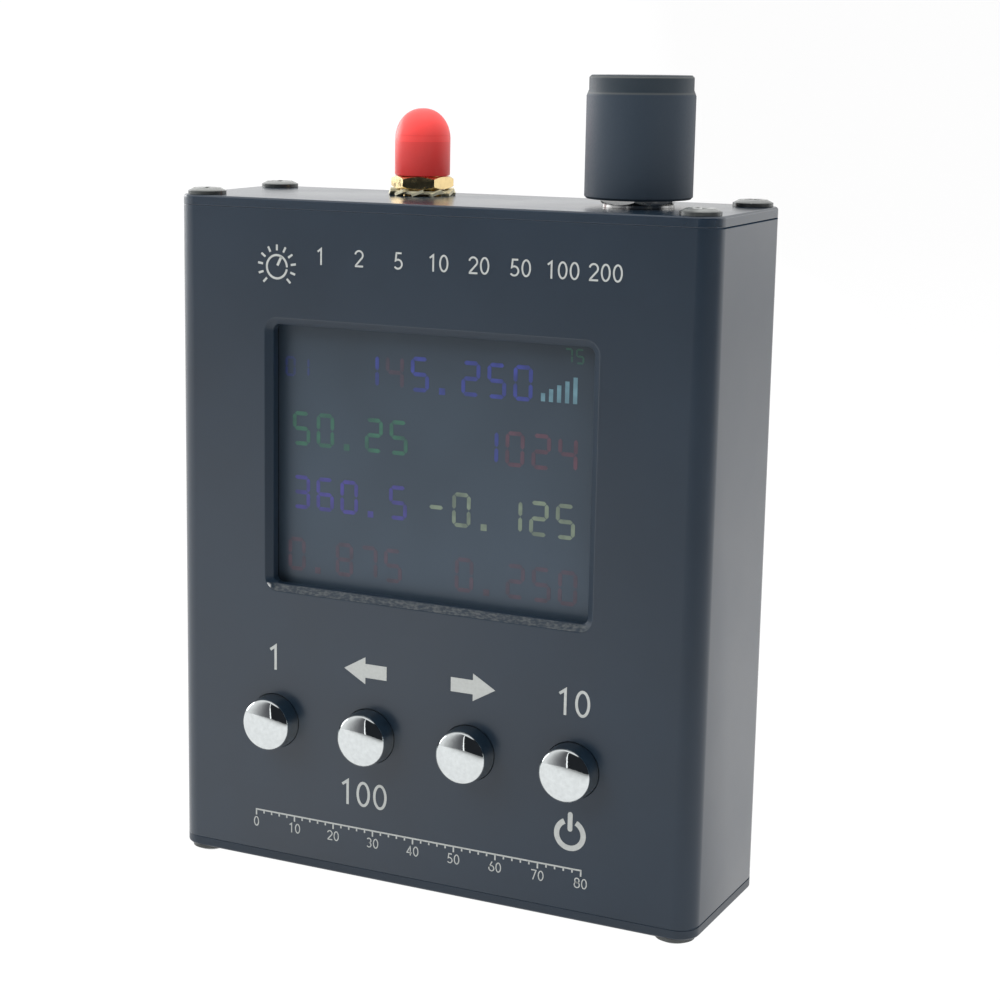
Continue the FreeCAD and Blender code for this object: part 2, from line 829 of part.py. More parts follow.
def jack_nut():
    nut = hex_nut(jack_nut_flats, jack_nut_height, jack_thread_diameter / 2 + jack_nut_fit,
                  jack_nut_chamfer)
    nut.rotate(Vector(0, 0, 0), Vector(0, 0, 1), jack_nut_turn)
    nut.translate(Vector(0, 0, jack_nut_low))
    return at_jack(nut)


def lock_washer():
    """A star washer: flat ring with outside teeth, each twisted about its own radius."""
    hole = jack_thread_diameter / 2 + jack_nut_fit
    t, w = lock_washer_thickness, lock_washer_tooth_width
    middle = top_face + washer_rise / 2
    pieces = [upright(hole + lock_washer_ring_width, middle - t / 2, middle + t / 2)]
    for i in range(lock_washer_teeth):
        tooth = box(hole + lock_washer_tooth_root, lock_washer_diameter / 2, -w / 2, w / 2,
                    -t / 2, t / 2)
        tooth.rotate(Vector(0, 0, 0), Vector(1, 0, 0), lock_washer_twist)
        tooth.rotate(Vector(0, 0, 0), Vector(0, 0, 1), 360 * i / lock_washer_teeth)
        tooth.translate(Vector(0, 0, middle))
        pieces.append(tooth)
    ring = fused(pieces).cut(upright(hole, top_face - overrun, jack_nut_low + overrun))
    return at_jack(ring)


def dust_cap():
    """A soft push-on cap: straight skirt, elliptical dome, thicker crown over a tapered room."""
    bore = jack_thread_diameter / 2 + cap_fit
    outer = bore + cap_wall
    dome_low = cap_high - cap_dome_rise
    cap = turned([(0, cap_low), (outer, cap_low)]
                 + dome_points(outer, cap_dome_rise, dome_low, cap_dome_steps))
    room_high = cap_high - cap_crown
    room = turned([(0, cap_low - overrun), (bore, cap_low - overrun), (bore, jack_high + cap_end_gap),
                   (bore * cap_room_taper, room_high), (0, room_high)])
    return at_jack(cap.cut(room))


# ---------------------------------------------------------------- power
def battery_cell():
    x0 = battery_x - battery_width / 2
    y0 = board_back + battery_tape_thickness
    cell = box(x0, x0 + battery_width, y0, y0 + battery_thickness,
               battery_low, battery_low + battery_height)
    upright_edges = [e for e in cell.Edges if abs(e.Vertexes[0].Z - e.Vertexes[1].Z) > 1e-6]
    return cell.makeFillet(min(battery_round, battery_thickness / 2 - least_flat), upright_edges)


def battery_tape():
    half = battery_width / 2 - battery_tape_inset
    return box(battery_x - half, battery_x + half, board_back, board_back + battery_tape_thickness,
               battery_low + battery_tape_inset, battery_low + battery_height - battery_tape_inset)


def battery_leads():
    low = battery_low + battery_height
    y = board_back + battery_plug_depth / 2
    return Part.makeCompound([upright(battery_lead_diameter / 2, low, low + battery_lead_length,
                                      battery_x + side * battery_lead_pitch / 2, y)
                              for side in (-1, 1)])


def battery_plug():
    low = battery_low + battery_height + battery_lead_length
    half = battery_plug_width / 2
    return box(battery_x - half, battery_x + half, board_back, board_back + battery_plug_depth,
               low, low + battery_plug_height)


def usb_shell():
    """A folded tin shell, closed at its upper end, with rounded corners."""
    shell = column(usb_width, usb_depth, usb_corner_radius, usb_low, usb_low + usb_length,
                   usb_x, usb_y)
    room = column(usb_width - 2 * usb_wall, usb_depth - 2 * usb_wall, usb_corner_radius - usb_wall,
                  usb_low - overrun, usb_low + usb_length - usb_wall, usb_x, usb_y)
    return shell.cut(room)


def usb_tongue():
    high = usb_low + usb_length - usb_wall
    return box(usb_x - usb_tongue_width / 2, usb_x + usb_tongue_width / 2,
               usb_y - usb_tongue_thickness / 2, usb_y + usb_tongue_thickness / 2,
               high - usb_tongue_length, high)


# ---------------------------------------------------------------- assembly
def parts():
    nodes = {
        "extruded_body": extruded_body(),
        "top_plate": top_plate(),
        "bottom_plate": bottom_plate(),
        "top_plate_screws": case_screws(top_face, 1),
        "bottom_plate_screws": case_screws(plate_low, -1),
        "display_gasket": display_gasket(),
        "display_glass": display_glass(),
        "display_driver_chip": display_driver_chip(),
        "display_light_guide": display_light_guide(),
        "display_tray": display_tray(),
        "display_flex": display_flex(),
        "display_tape": display_tape(),
        "front_board": board(board_front, board_back),
        "front_board_chips": chips(board_back, front_chip_places),
        "radio_board": board(radio_front, radio_back),
        "radio_board_chips": chips(radio_back, radio_chip_places),
        "shield_can": shield_can(),
        "board_header": board_header(),
        "switch_bases": Part.makeCompound([switch_base(x) for x in key_places]),
        "switch_covers": Part.makeCompound([switch_cover(x) for x in key_places]),
        "switch_legs": Part.makeCompound([leg for x in key_places for leg in switch_legs(x)]),
        "encoder_housing": encoder_housing(),
        "encoder_frame": encoder_frame(),
        "encoder_bushing": encoder_bushing(),
        "encoder_washer": encoder_washer(),
        "encoder_nut": encoder_nut(),
        "encoder_pins": encoder_pins(),
        "encoder_push_pin": push_pin(),
        "encoder_shaft": encoder_shaft(),
        "tuning_knob": tuning_knob(),
        "jack_body": jack_body(),
        "jack_dielectric": jack_dielectric(),
        "jack_contact": jack_contact(),
        "jack_nut": jack_nut(),
        "jack_lock_washer": lock_washer(),
        "dust_cap": dust_cap(),
        "battery_cell": battery_cell(),
        "battery_tape": battery_tape(),
        "battery_leads": battery_leads(),
        "battery_plug": battery_plug(),
        "usb_shell": usb_shell(),
        "usb_tongue": usb_tongue(),
    }
    for i, x in enumerate(key_places, 1):
        nodes[f"key_cap_{i}"] = key_cap(x)
        nodes[f"key_plunger_{i}"] = switch_plunger(x)
    return nodes


def main():
    os.makedirs("parts", exist_ok=True)
    for name, shape in parts().items():
        shape.translate(Vector(0, case_shift_y, 0))
        shape.exportStep(f"parts/{name}.step")
        print(f"{name:22s} solids {len(shape.Solids):2d} valid {shape.isValid()} "
              f"volume {shape.Volume:9.2f}")


main()
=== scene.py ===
import math

import bmesh
import bpy
import numpy as np
from bpy.props import FloatProperty, FloatVectorProperty, PointerProperty, StringProperty
from bpy.types import Operator, Panel, PropertyGroup
from mathutils import Matrix, Vector


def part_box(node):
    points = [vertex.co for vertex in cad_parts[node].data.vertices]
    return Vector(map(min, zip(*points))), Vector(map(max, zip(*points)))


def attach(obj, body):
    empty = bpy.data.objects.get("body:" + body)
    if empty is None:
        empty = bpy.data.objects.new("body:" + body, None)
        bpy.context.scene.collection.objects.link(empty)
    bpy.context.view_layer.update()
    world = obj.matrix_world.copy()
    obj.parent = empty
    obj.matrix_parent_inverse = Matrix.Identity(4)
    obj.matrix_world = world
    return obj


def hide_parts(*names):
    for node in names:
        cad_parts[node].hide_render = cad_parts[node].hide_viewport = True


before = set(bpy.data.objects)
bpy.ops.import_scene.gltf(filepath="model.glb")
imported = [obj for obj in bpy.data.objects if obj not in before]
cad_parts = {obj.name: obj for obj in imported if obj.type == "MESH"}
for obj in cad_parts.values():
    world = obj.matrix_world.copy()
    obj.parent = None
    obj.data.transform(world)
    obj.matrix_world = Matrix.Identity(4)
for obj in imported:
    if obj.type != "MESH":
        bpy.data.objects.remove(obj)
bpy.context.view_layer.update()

bl_info = {
    "name": "Handheld Antenna Analyzer",
    "version": (1, 0, 0),
    "blender": (4, 5, 0),
    "location": "View3D > Sidebar > Analyzer",
    "description": "Dresses the analyzer's frame with its surfaces, finishes, markings and stage",
    "category": "Add Mesh",
}

MM = 0.001
UP, BACK, WHITE = (0.0, 0.0, 1.0), (0.0, 1.0, 0.0), (1.0, 1.0, 1.0)
EDGE_ANGLE = 28.0  # degrees over which a solid's edge is rounded


# ------------ sizes and colours
def length(label, millimetres):
    """A length that is kept in metres and shown in the scene's unit."""
    return FloatProperty(name=label, description=label, default=millimetres * MM,
                         subtype="DISTANCE", unit="LENGTH", precision=5, min=0.0)


def colour(label, default):
    """A linear red, green, blue colour."""
    return FloatVectorProperty(name=label, description=label, default=default,
                               subtype="COLOR", size=3, min=0.0, max=1.0)


def words(label, default):
    """Plain numbers that are drawn on the object."""
    return StringProperty(name=label, description=label, default=default)


class AnalyzerSizes(PropertyGroup):
    """Sizes of the surfaces that finish the frame."""
    case_edge: length("Radius on the sleeve's edges", 0.12)
    plate_edge: length("Radius on the plates' edges", 0.08)
    knob_edge: length("Radius on the knob's edges", 0.14)
    nut_edge: length("Radius on the nuts' edges", 0.07)
    screw_edge: length("Radius on the screw heads", 0.1)
    key_diameter: length("Diameter of a key", 7.45)
    key_rise: length("Height of a key's dome", 1.25)
    key_flange: length("Thickness of a key's flange", 0.5)
    key_draft: length("What a key's radius gains at the panel", 0.22)
    cap_wall: length("Wall of the dust cap", 0.68)
    cap_dome: length("Height of the dust cap's dome", 4.4)
    thread_pitch: length("Pitch of the jack's thread", 0.706)
    thread_depth: length("Depth of the jack's thread", 0.38)
    ink: length("Height of the markings", 0.02)
    digit_height: length("Height of a lit digit", 4.8)
    digit_stroke: length("Width of a lit segment", 0.56)


class AnalyzerNumbers(PropertyGroup):
    """The numbers printed on the panel and lit on the display, where _ leaves a place dark."""
    scale: words("Scale at the top", "1 2 5 10 20 50 100 200")
    ruler: words("Ruler at the foot", "0 10 20 30 40 50 60 70 80")
    key_figures: words("Beside keys 1, 2 and 4", "1 100 10")
    row_1: words("Main reading, in two parts", "1_5.250 _4")
    row_2: words("Row 2, the last two in one place", "50.25 1 _024")
    row_3: words("Row 3", "360.5 -0.125")
    row_4: words("Row 4", "0.875 0.250")
    corner: words("Small reading in the corner", "75")
    tag: words("Small number before the main reading", "01")


class AnalyzerColours(PropertyGroup):
    """Colours of the finishes."""
    case: colour("Anodised case", (0.0115, 0.0235, 0.040))
    # painted highlight: the light speckle on the flare below its foot
    flare: colour("Painted highlight speckle at the window's foot", (0.085, 0.095, 0.10))
    knob: colour("Moulded knob", (0.0295, 0.0445, 0.064))
    cap: colour("Soft dust cap", (0.95, 0.10, 0.095))
    ink: colour("Printed markings", (0.48, 0.50, 0.485))
    blue: colour("Glow of the main reading", (0.010, 0.009, 0.175))
    green: colour("Glow of row 2, left", (0.007, 0.078, 0.021))
    red: colour("Glow of row 2, right", (0.062, 0.006, 0.008))
    violet: colour("Glow of row 3, left", (0.026, 0.007, 0.165))
    lime: colour("Glow of row 3, right", (0.145, 0.175, 0.10))
    faint: colour("Glow of row 4", (0.039, 0.008, 0.011))
    cyan: colour("Glow of the level bars", (0.085, 0.175, 0.205))
    gold: colour("Plated jack", (0.86, 0.66, 0.33))
    washer: colour("Pale plated star washer", (0.93, 0.87, 0.62))
    steel: colour("Nickel and tin", (0.66, 0.66, 0.65))
    glass: colour("Display face", (0.0315, 0.048, 0.068))
    floor: colour("Floor and backdrop", (0.92, 0.92, 0.92))


def settings(context):
    """The scene's sizes, colours and numbers."""
    scene = context.scene
    return scene.analyzer_sizes, scene.analyzer_colours, scene.analyzer_numbers


# ------------ surfaces
def lattice(*values):
    """The points or faces of a grid, row after row; each value is a row, a column or a grid."""
    return np.stack(np.broadcast_arrays(*values), -1).reshape(-1, len(values))


def grid_faces(rows, columns, closed=True):
    """Quads between the points of a grid; closed joins the last column to the first."""
    row = np.arange(rows - 1)[:, None] * columns
    column = np.arange(columns if closed else columns - 1)
    after = (column + 1) % columns
    return lattice(row + column, row + after, row + columns + after, row + columns + column)


def rings(radius, height, angle):
    """Points (r cos a, r sin a, z) of closed rings, one ring to a row of radii and heights."""
    return lattice(radius * np.cos(angle), radius * np.sin(angle), height)


def turned_surface(profile, segments=96):
    """The profile of (r, z) rows, from axis to axis, turned about z into rings.  The first and
    last rows are one point each, joined to their rings by fans."""
    radius, height = profile[1:-1].T
    body = rings(radius[:, None], height[:, None],
                 np.linspace(0, 2 * np.pi, segments, endpoint=False))
    poles = [(0, 0, profile[0, 1]), (0, 0, profile[-1, 1])]
    pole, last, k = len(body), len(body) - segments, np.arange(segments)
    after = (k + 1) % segments
    fans = np.vstack([lattice(pole, after, k), lattice(pole + 1, last + k, last + after)])
    return np.vstack([body, poles]), grid_faces(len(radius), segments).tolist() + fans.tolist()


def dome(radius, rise, low, power=2.2, steps=24):
    """Rows (r, z) on the curve |r/radius|^power + |(z - low)/rise|^power = 1, from rim to axis."""
    turn = np.linspace(0, np.pi / 2, steps)
    r = radius * np.cos(turn) ** (2 / power)
    r[-1] = 0.0
    return np.stack([r, low + rise * np.sin(turn) ** (2 / power)], -1)


def stroke(path, width):
    """Outline of a line of even width: each point moves half the width to both sides, along the
    sum n1 + n2 of its two runs' normals over 1 + n1.n2, so that bends stay as wide as the runs."""
    path = np.asarray(path, float)
    run = np.diff(path, axis=0)
    run /= np.linalg.norm(run, axis=1)[:, None]
    normal = np.stack([-run[:, 1], run[:, 0]], -1)
    both = (normal[:-1] + normal[1:]) / (1 + (normal[:-1] * normal[1:]).sum(1))[:, None]
    side = np.vstack([normal[:1], both, normal[-1:]]) * width / 2
    return np.vstack([path - side, (path + side)[::-1]])


def arc(centre, radius, start, stop, steps):
    """Points centre + radius (cos a, sin a), with a from start to stop in degrees."""
    angle = np.radians(np.linspace(start, stop, steps + 1))
    return np.asarray(centre, float) + radius * np.stack([np.cos(angle), np.sin(angle)], -1)


def rectangle(left, low, right, high):
    """Outline of an upright rectangle."""
    return [(left, low), (right, low), (right, high), (left, high)]


def slabs(outlines, front, back):
    """Closed plates whose (x, z) outlines are carried from y = front to y = back.
    An outline's signed area, the sum of x_i z_j - x_j z_i over its sides, turns it the same way."""
    points, faces, count = [], [], 0
    for outline in outlines:
        x, z = np.asarray(outline, float).T
        if (x * np.roll(z, -1) - np.roll(x, -1) * z).sum() < 0:
            x, z = x[::-1], z[::-1]
        n = len(x)
        points.append(lattice(x, [[front], [back]], z))
        i = count + np.arange(n)
        j = count + (np.arange(n) + 1) % n
        faces += [i.tolist(), (i[::-1] + n).tolist(), *lattice(i, i + n, j + n, j).tolist()]
        count += 2 * n
    return np.vstack(points), faces


def numeral(sign):
    """Centre lines of a figure in a cell one high and 0.58 wide: runs and arcs of circles, and for
    nought an ellipse x = 0.29 + 0.24 cos a, z = 0.5 + 0.45 sin a."""
    oval = arc((0, 0), 1, 0, 360, 40) * (0.24, 0.45) + (0.29, 0.5)
    foot, head = arc((0.29, 0.31), 0.26, 0, 360, 40), arc((0.29, 0.73), 0.22, 0, 360, 32)
    hook = np.vstack([arc((0.29, 0.70), 0.25, 170, -38, 24), [(0.08, 0.10)]])
    belly = np.vstack([[(0.50, 0.95), (0.17, 0.95), (0.12, 0.52)],
                       arc((0.27, 0.31), 0.26, 110, -145, 24)])
    lines = {
        "0": [oval[:21], oval[20:]],
        "1": [[(0.10, 0.78), (0.33, 0.95), (0.33, 0.0)]],
        "2": [hook, [(0.02, 0.05), (0.56, 0.05)]],
        "3": [arc((0.27, 0.73), 0.22, 150, -90, 24), arc((0.27, 0.28), 0.23, 90, -150, 24)],
        "4": [[(0.42, 0.0), (0.42, 0.98)], [(0.42, 0.95), (0.06, 0.28), (0.58, 0.28)]],
        "5": [belly],
        "6": [foot[:21], foot[20:], [(0.06, 0.42), (0.36, 0.98)]],
        "7": [[(0.03, 0.95), (0.52, 0.95), (0.20, 0.0)]],
        "8": [head[:17], head[16:], foot[:21] - (0, 0.01), foot[20:] - (0, 0.01)],
        "9": [1 - foot[:21] - (0.42, 0), 1 - foot[20:] - (0.42, 0), [(0.52, 0.58), (0.22, 0.02)]],
    }
    return [np.asarray(line, float) for line in lines[sign]]


def number(text, height, centre, low, weight=0.105):
    """Outlines of a whole number centred on x = centre over z = low.  Weight is line to height,
    and the cells are 0.72 heights apart."""
    start = centre - (len(text) * 0.72 - 0.14) * height / 2
    return [stroke(line, weight) * height + (start + place * 0.72 * height, low)
            for place, sign in enumerate(text) for line in numeral(sign)]


# the lit segments of each sign, and their ends as column and row in a cell of two by three corners
SEGMENTS = {"0": "abcdef", "1": "bc", "2": "abged", "3": "abgcd", "4": "fgbc", "5": "afgcd",
            "6": "afgedc", "7": "abc", "8": "abcdefg", "9": "abcdfg", "-": "g"}
ENDS = {"a": ((0, 2), (1, 2)), "b": ((1, 1), (1, 2)), "c": ((1, 0), (1, 1)), "d": ((0, 0), (1, 0)),
        "e": ((0, 0), (0, 1)), "f": ((0, 1), (0, 2)), "g": ((0, 1), (1, 1))}


def reading(text, left, low, height, line):
    """Outlines of a seven-segment reading.  A segment is a bar with pointed ends; a cell is 0.58
    heights wide and the cells are 0.8 heights apart."""
    outlines = []
    gap, dot = 0.12 * line, 0.8 * line
    wide, tall = 0.58 * height - line, (height - line) / 2
    for cell, sign in enumerate(text):
        corner = np.array([left + cell * 0.8 * height + line / 2, low + line / 2])
        if sign == ".":
            outlines.append(corner + (0.3 * wide, 0.1 * line) + rectangle(-dot, -dot, dot, dot))
        for segment in SEGMENTS.get(sign, ""):
            start, stop = (corner + np.array(end) * (wide, tall) for end in ENDS[segment])
            on = (stop - start) / np.linalg.norm(stop - start)
            start, stop = start + on * gap, stop - on * gap
            inner, across = on * line / 2, np.array([-on[1], on[0]]) * line / 2
            outlines.append([start, start + inner - across, stop - inner - across, stop,
                             stop - inner + across, start + inner + across])
    return outlines


# ------------ making pieces
def linked(name, data):
    """An object in the scene."""
    obj = bpy.data.objects.new(name, data)
    bpy.context.collection.objects.link(obj)
    return obj


def placed(name, mesh, material, body, sharp):
    """An object of one material that rides on a body; edges over the angle stay sharp."""
    mesh.materials.append(material)
    mesh.shade_smooth()
    mesh.set_sharp_from_angle(angle=math.radians(sharp))
    obj = linked(name, mesh)
    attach(obj, body)
    return obj


def piece(name, points, faces, material, body, sharp=40.0):
    """An object made from points and faces in the row frame."""
    mesh = bpy.data.meshes.new(name)
    mesh.from_pydata(points.tolist(), [], faces)
    mesh.validate()
    return placed(name, mesh, material, body, sharp)


def dress(material, *nodes):
    """Gives frame nodes their finish."""
    for node in nodes:
        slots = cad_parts[node].data.materials
        slots.clear()
        slots.append(material)


def finished_copy(node, name, material, edge, segments=3, body="case"):
    """The node's own solid with its doubles merged, flat areas made whole and edges rounded."""
    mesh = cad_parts[node].data.copy()
    mesh.name = name
    shape = bmesh.new()
    shape.from_mesh(mesh)
    bmesh.ops.remove_doubles(shape, verts=shape.verts, dist=0.0005 * MM)
    bmesh.ops.dissolve_limit(shape, angle_limit=math.radians(0.6), verts=shape.verts,
                             edges=shape.edges)
    shape.to_mesh(mesh)
    shape.free()
    mesh.materials.clear()
    obj = placed(name, mesh, material, body, EDGE_ANGLE)
    bevel = obj.modifiers.new("edges", "BEVEL")
    bevel.limit_method = "ANGLE"
    bevel.angle_limit = math.radians(EDGE_ANGLE)
    bevel.width = edge
    bevel.segments = segments
    bevel.miter_outer = "MITER_ARC"
    # large flat faces keep their own normals beside the rounds that run into them
    level = obj.modifiers.new("normals", "WEIGHTED_NORMAL")
    level.keep_sharp = True
    level.weight = 100
    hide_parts(node)
    return obj


# ------------ finishes
class Wiring:
    """Short calls that add shader nodes to a tree and hand on their outputs.  A value is such an
    output, a number or a colour."""

    def __init__(self, tree, coordinates):
        self.nodes, self.links = tree.nodes, tree.links
        self.place = self.add("ShaderNodeTexCoord").outputs[coordinates]

    def feed(self, node, *values, **named):
        """Fills a node's inputs, in order or by name; names in small letters are its settings."""
        for name in [name for name in named if name.islower()]:
            setattr(node, name, named.pop(name))
        sockets = [node.inputs[name.replace("_", " ")] for name in named]
        for socket, value in [*zip(node.inputs, values), *zip(sockets, named.values())]:
            if isinstance(value, bpy.types.NodeSocket):
                self.links.new(value, socket)
            else:
                socket.default_value = (*value, 1.0)[:4] if socket.type == "RGBA" else value
        return node

    def add(self, kind, *values, **named):
        """A new node, filled in the same way."""
        return self.feed(self.nodes.new(kind), *values, **named)

    def combine(self, operation, *values):
        """A sum, product, maximum or the like of the values."""
        return self.add("ShaderNodeMath", *values, operation=operation).outputs[0]

    def along(self, direction):
        """The distance along a direction, in metres times the direction's length."""
        return self.add("ShaderNodeVectorMath", self.place, direction,
                        operation="DOT_PRODUCT").outputs["Value"]

    def off(self, height):
        """How far a point lies over or under a height."""
        return self.combine("ABSOLUTE", self.combine("SUBTRACT", self.along(UP), height))

    def spread(self, value, low, high, start=0.3, stop=0.7, **settings):
        """Maps a value from start..stop to low..high."""
        return self.add("ShaderNodeMapRange", Value=value, From_Min=start, From_Max=stop,
                        To_Min=low, To_Max=high, **settings).outputs["Result"]

    def mix(self, factor, low, high, **settings):
        """A colour that runs from low to high with the factor."""
        return self.add("ShaderNodeMix", data_type="RGBA", Factor=factor, A=low, B=high,
                        **settings).outputs["Result"]

    def ramp(self, value, *stops):
        """A colour that follows the value through stops, each a place and a colour."""
        node = self.add("ShaderNodeValToRGB", value)
        elements = node.color_ramp.elements
        for place, shade in stops[1:-1]:
            elements.new(place).color = (*shade, 1.0)
        for end in (0, -1):
            elements[end].color = (*stops[end][1], 1.0)
        return node.outputs["Color"]


class Finish(Wiring):
    """A material under construction, on a Principled shader."""

    def __init__(self, name, base, roughness, **sockets):
        self.material = bpy.data.materials.new(name)
        self.material.use_nodes = True
        super().__init__(self.material.node_tree, "Object")
        self.shader = self.nodes["Principled BSDF"]
        self.base, self.roughness = base, roughness
        self.set(Base_Color=base, Roughness=roughness, **sockets)

    def set(self, **sockets):
        """Sets or wires inputs of the shader."""
        self.feed(self.shader, **sockets)
        return self

    def noise(self, per_mm, detail=2.0, stretch=(1.0, 1.0, 1.0), rough=0.5):
        """A noise with about per_mm features to the millimetre, stretched along the axes."""
        mapped = self.add("ShaderNodeMapping", Vector=self.place, Scale=stretch).outputs["Vector"]
        return self.add("ShaderNodeTexNoise", Vector=mapped, Scale=per_mm / MM, Detail=detail,
                        Roughness=rough).outputs["Fac"]

    def tint(self, value, light, dark):
        """Base colour runs from dark to light with the value."""
        return self.set(Base_Color=self.mix(value, dark, light))

    def mottle(self, noise, light, dark, *edges):
        """Base colour swings with a noise between light and dark times itself."""
        return self.tint(self.spread(noise, 0.0, 1.0, *edges), scaled(self.base, light),
                         scaled(self.base, dark))

    def vary_roughness(self, value, amount):
        """Roughness swings by amount each way round its middle."""
        return self.set(Roughness=self.spread(value, self.roughness - amount,
                                              self.roughness + amount))

    def bump(self, value, depth_mm, strength):
        """Relief of the given depth."""
        return self.set(Normal=self.add("ShaderNodeBump", Distance=depth_mm * MM,
                                        Strength=strength, Height=value).outputs["Normal"])

    def grain(self, per_mm):
        """The fine even grain of a moulding."""
        grit = self.noise(per_mm)
        return self.vary_roughness(grit, 0.04).bump(grit, 0.008, 0.4)


def scaled(base, factor):
    """A colour made lighter or darker by a factor."""
    return tuple(min(1.0, c * factor) for c in base)


def anodised(name, base, roughness, level, coat):
    """Bead-blasted and anodised aluminium, with its clear oxide film as a coat."""
    finish = Finish(name, base, roughness, Specular_IOR_Level=level, Coat_Weight=coat,
                    Coat_Roughness=0.2)
    cloud = finish.noise(0.06, 3.0)
    finish.mottle(cloud, 1.12, 0.94).vary_roughness(cloud, 0.03)
    return finish.bump(finish.noise(5.0), 0.006, 0.35)


def sleeve_finish(base, low, high):
    """The sleeve, with painted shade: its coat fades out towards the front's lower right, and its
    sheen stops just short of both ends, a dark line where it meets the plates, but not near the
    front."""
    level, coat = 0.46, 0.5
    # painted shade: the coat fades out along a direction, between two distances along it in metres
    sheen_fade_way, sheen_fade_ends = (1.0, -4.0, -0.6), (0.022, 0.073)
    half = (high.z - low.z) / 2
    # painted shade in the joints with the plates: the sheen fades out between two distances from
    # the middle height, except within a span behind the front
    joint_shade, lip = (half - 0.24 * MM, half - 0.16 * MM), (low.y + 0.8 * MM, low.y + 2.4 * MM)
    finish = anodised("anodised sleeve", base, 0.34, level, coat)
    # the coat, thinned by painted shade towards the front's lower right
    film = finish.spread(finish.along(sheen_fade_way), coat, 0.0, *sheen_fade_ends)
    sheen = finish.combine("MAXIMUM", finish.spread(finish.off(low.z + half), 1.0, 0.0, *joint_shade),
                           finish.spread(finish.along(BACK), 1.0, 0.0, *lip))
    return finish.set(Coat_Weight=finish.combine("MULTIPLY", film, sheen),
                      Specular_IOR_Level=finish.combine("MULTIPLY", sheen, level)).material


def cut_edge_finish(base, speckle_highlight, foot, chip):
    """The flare round the window: below its foot a speckled painted highlight, the light that its
    rough upward-facing cut catches, and one painted highlight at a corner."""
    # the corner's painted highlight: its colour, and the distances over which it fades
    bright, soft, corner_highlight_ends = (0.75, 0.76, 0.75), 0.15 * MM, (0.45 * MM, 0.75 * MM)
    finish = Finish("cut edge", base, 0.34, Specular_IOR_Level=0.46)
    speckle = finish.spread(finish.noise(3.5, 3.0, (0.5, 1.0, 1.0)), 0.15, 1.0, 0.42, 0.66)
    # painted highlight: the light speckle lies only below the foot
    low = finish.spread(finish.along(UP), 1.0, 0.0, foot - soft, foot + soft)
    tone = finish.mix(finish.combine("MULTIPLY", speckle, low), base, speckle_highlight)
    # distance from the corner's painted highlight, which chip gives
    highlight_distance = finish.add("ShaderNodeVectorMath", finish.place, chip, operation="DISTANCE")
    finish.tint(finish.spread(highlight_distance.outputs["Value"], 1.0, 0.0, *corner_highlight_ends), bright, tone)
    return finish.bump(speckle, 0.01, 0.5).material


def moulded(name, base, roughness=0.5, grain=3.0):
    """Moulded plastic: a fine even grain and faint cloudiness."""
    finish = Finish(name, base, roughness)
    return finish.mottle(finish.noise(0.12), 1.15, 0.9).grain(grain).material


def knob_finish(base, foot, head):
    """Moulded knob, darker from its neck up, with painted highlights in thin paler bands at its
    step and its top rim.
    """
    # the colour of the two painted highlight bands, and the neck's darker tone
    edge_highlight, neck = (0.085, 0.092, 0.092), (0.026, 0.038, 0.050)
    finish = Finish("knob plastic", base, 0.52, Specular_IOR_Level=0.45)
    level = finish.spread(finish.along(UP), 0.0, 1.0, foot, head)
    # painted highlights: thin paler bands at the step and at the top rim
    tone = finish.ramp(level, (0.0, base), (0.846, base), (0.855, edge_highlight), (0.866, neck),
                       (0.974, neck), (0.984, edge_highlight), (1.0, neck))
    return finish.set(Base_Color=tone).grain(3.0).material


def plated(name, base, roughness, grain=1.5, metallic=1.0, relief=0.002):
    """Plated metal: bright, with faint uneven polish; relief is in millimetres."""
    finish = Finish(name, base, roughness, Metallic=metallic)
    cloud = finish.noise(grain, 3.0)
    finish.mottle(cloud, 1.04, 0.93).vary_roughness(cloud, roughness * 0.4)
    return finish.bump(cloud, relief, 0.3).material


def screw_finish(name, crown):
    """Blackened steel, with a painted reflection that makes the crown of the heads paler; the
    crown lies at the given height.
    """
    # pale is the colour of the painted reflection on the crowns
    base, pale = (0.06, 0.066, 0.066), (0.31, 0.32, 0.31)
    finish = Finish(name, base, 0.2, Metallic=0.35)
    cloud = finish.noise(0.8, 3.0)
    # painted reflection: paler near the crown, fading within a few tenths of a millimetre
    crown_sheen = finish.spread(finish.off(crown), 0.9, 0.0, 0.22 * MM, 0.45 * MM)
    finish.tint(finish.combine("ADD", crown_sheen, finish.spread(cloud, 0.0, 0.1)), pale, base)
    return finish.vary_roughness(cloud, 0.08).bump(cloud, 0.0005, 0.3).material


def vinyl_finish(base, core_high, core_low):
    """Soft clear-red vinyl. Its emission is a painted glow for the room's light that comes through
    it, and painted shade darkens it towards its foot and up to core_high, where the barrel lies
    inside, under a painted lighter band where the rim ends."""
    # painted shade and light: darker shares low down, a lighter band at the barrel's top
    stops = ((0.0, 0.70), (0.35, 0.74), (0.655, 0.80), (0.675, 1.0), (0.745, 1.0), (0.775, 0.82),
             (0.81, 1.0), (1.0, 1.04))
    shaded_share, veil = 0.71, (0.97, 0.94, 0.94)
    # the emission is a painted glow
    finish = Finish("red vinyl", base, 0.34, Subsurface_Weight=0.35, Subsurface_Scale=0.8 * MM,
                    Subsurface_Radius=(1.0, 0.25, 0.2), Specular_IOR_Level=0.35,
                    Emission_Strength=1.0, Emission_Color=(0.15, 0.008, 0.007))
    level = finish.spread(finish.along(UP), 0.0, 1.0, core_low,
                          core_low + (core_high - core_low) / shaded_share)
    tone = finish.ramp(level, *((stop, scaled(base, share)) for stop, share in stops))
    cloud = finish.spread(finish.noise(0.25, 1.0), 0.0, 1.0)
    finish.set(Base_Color=finish.mix(cloud, tone, veil, blend_type="MULTIPLY"))
    return finish.vary_roughness(cloud, 0.02).bump(finish.noise(2.0), 0.006, 0.2).material


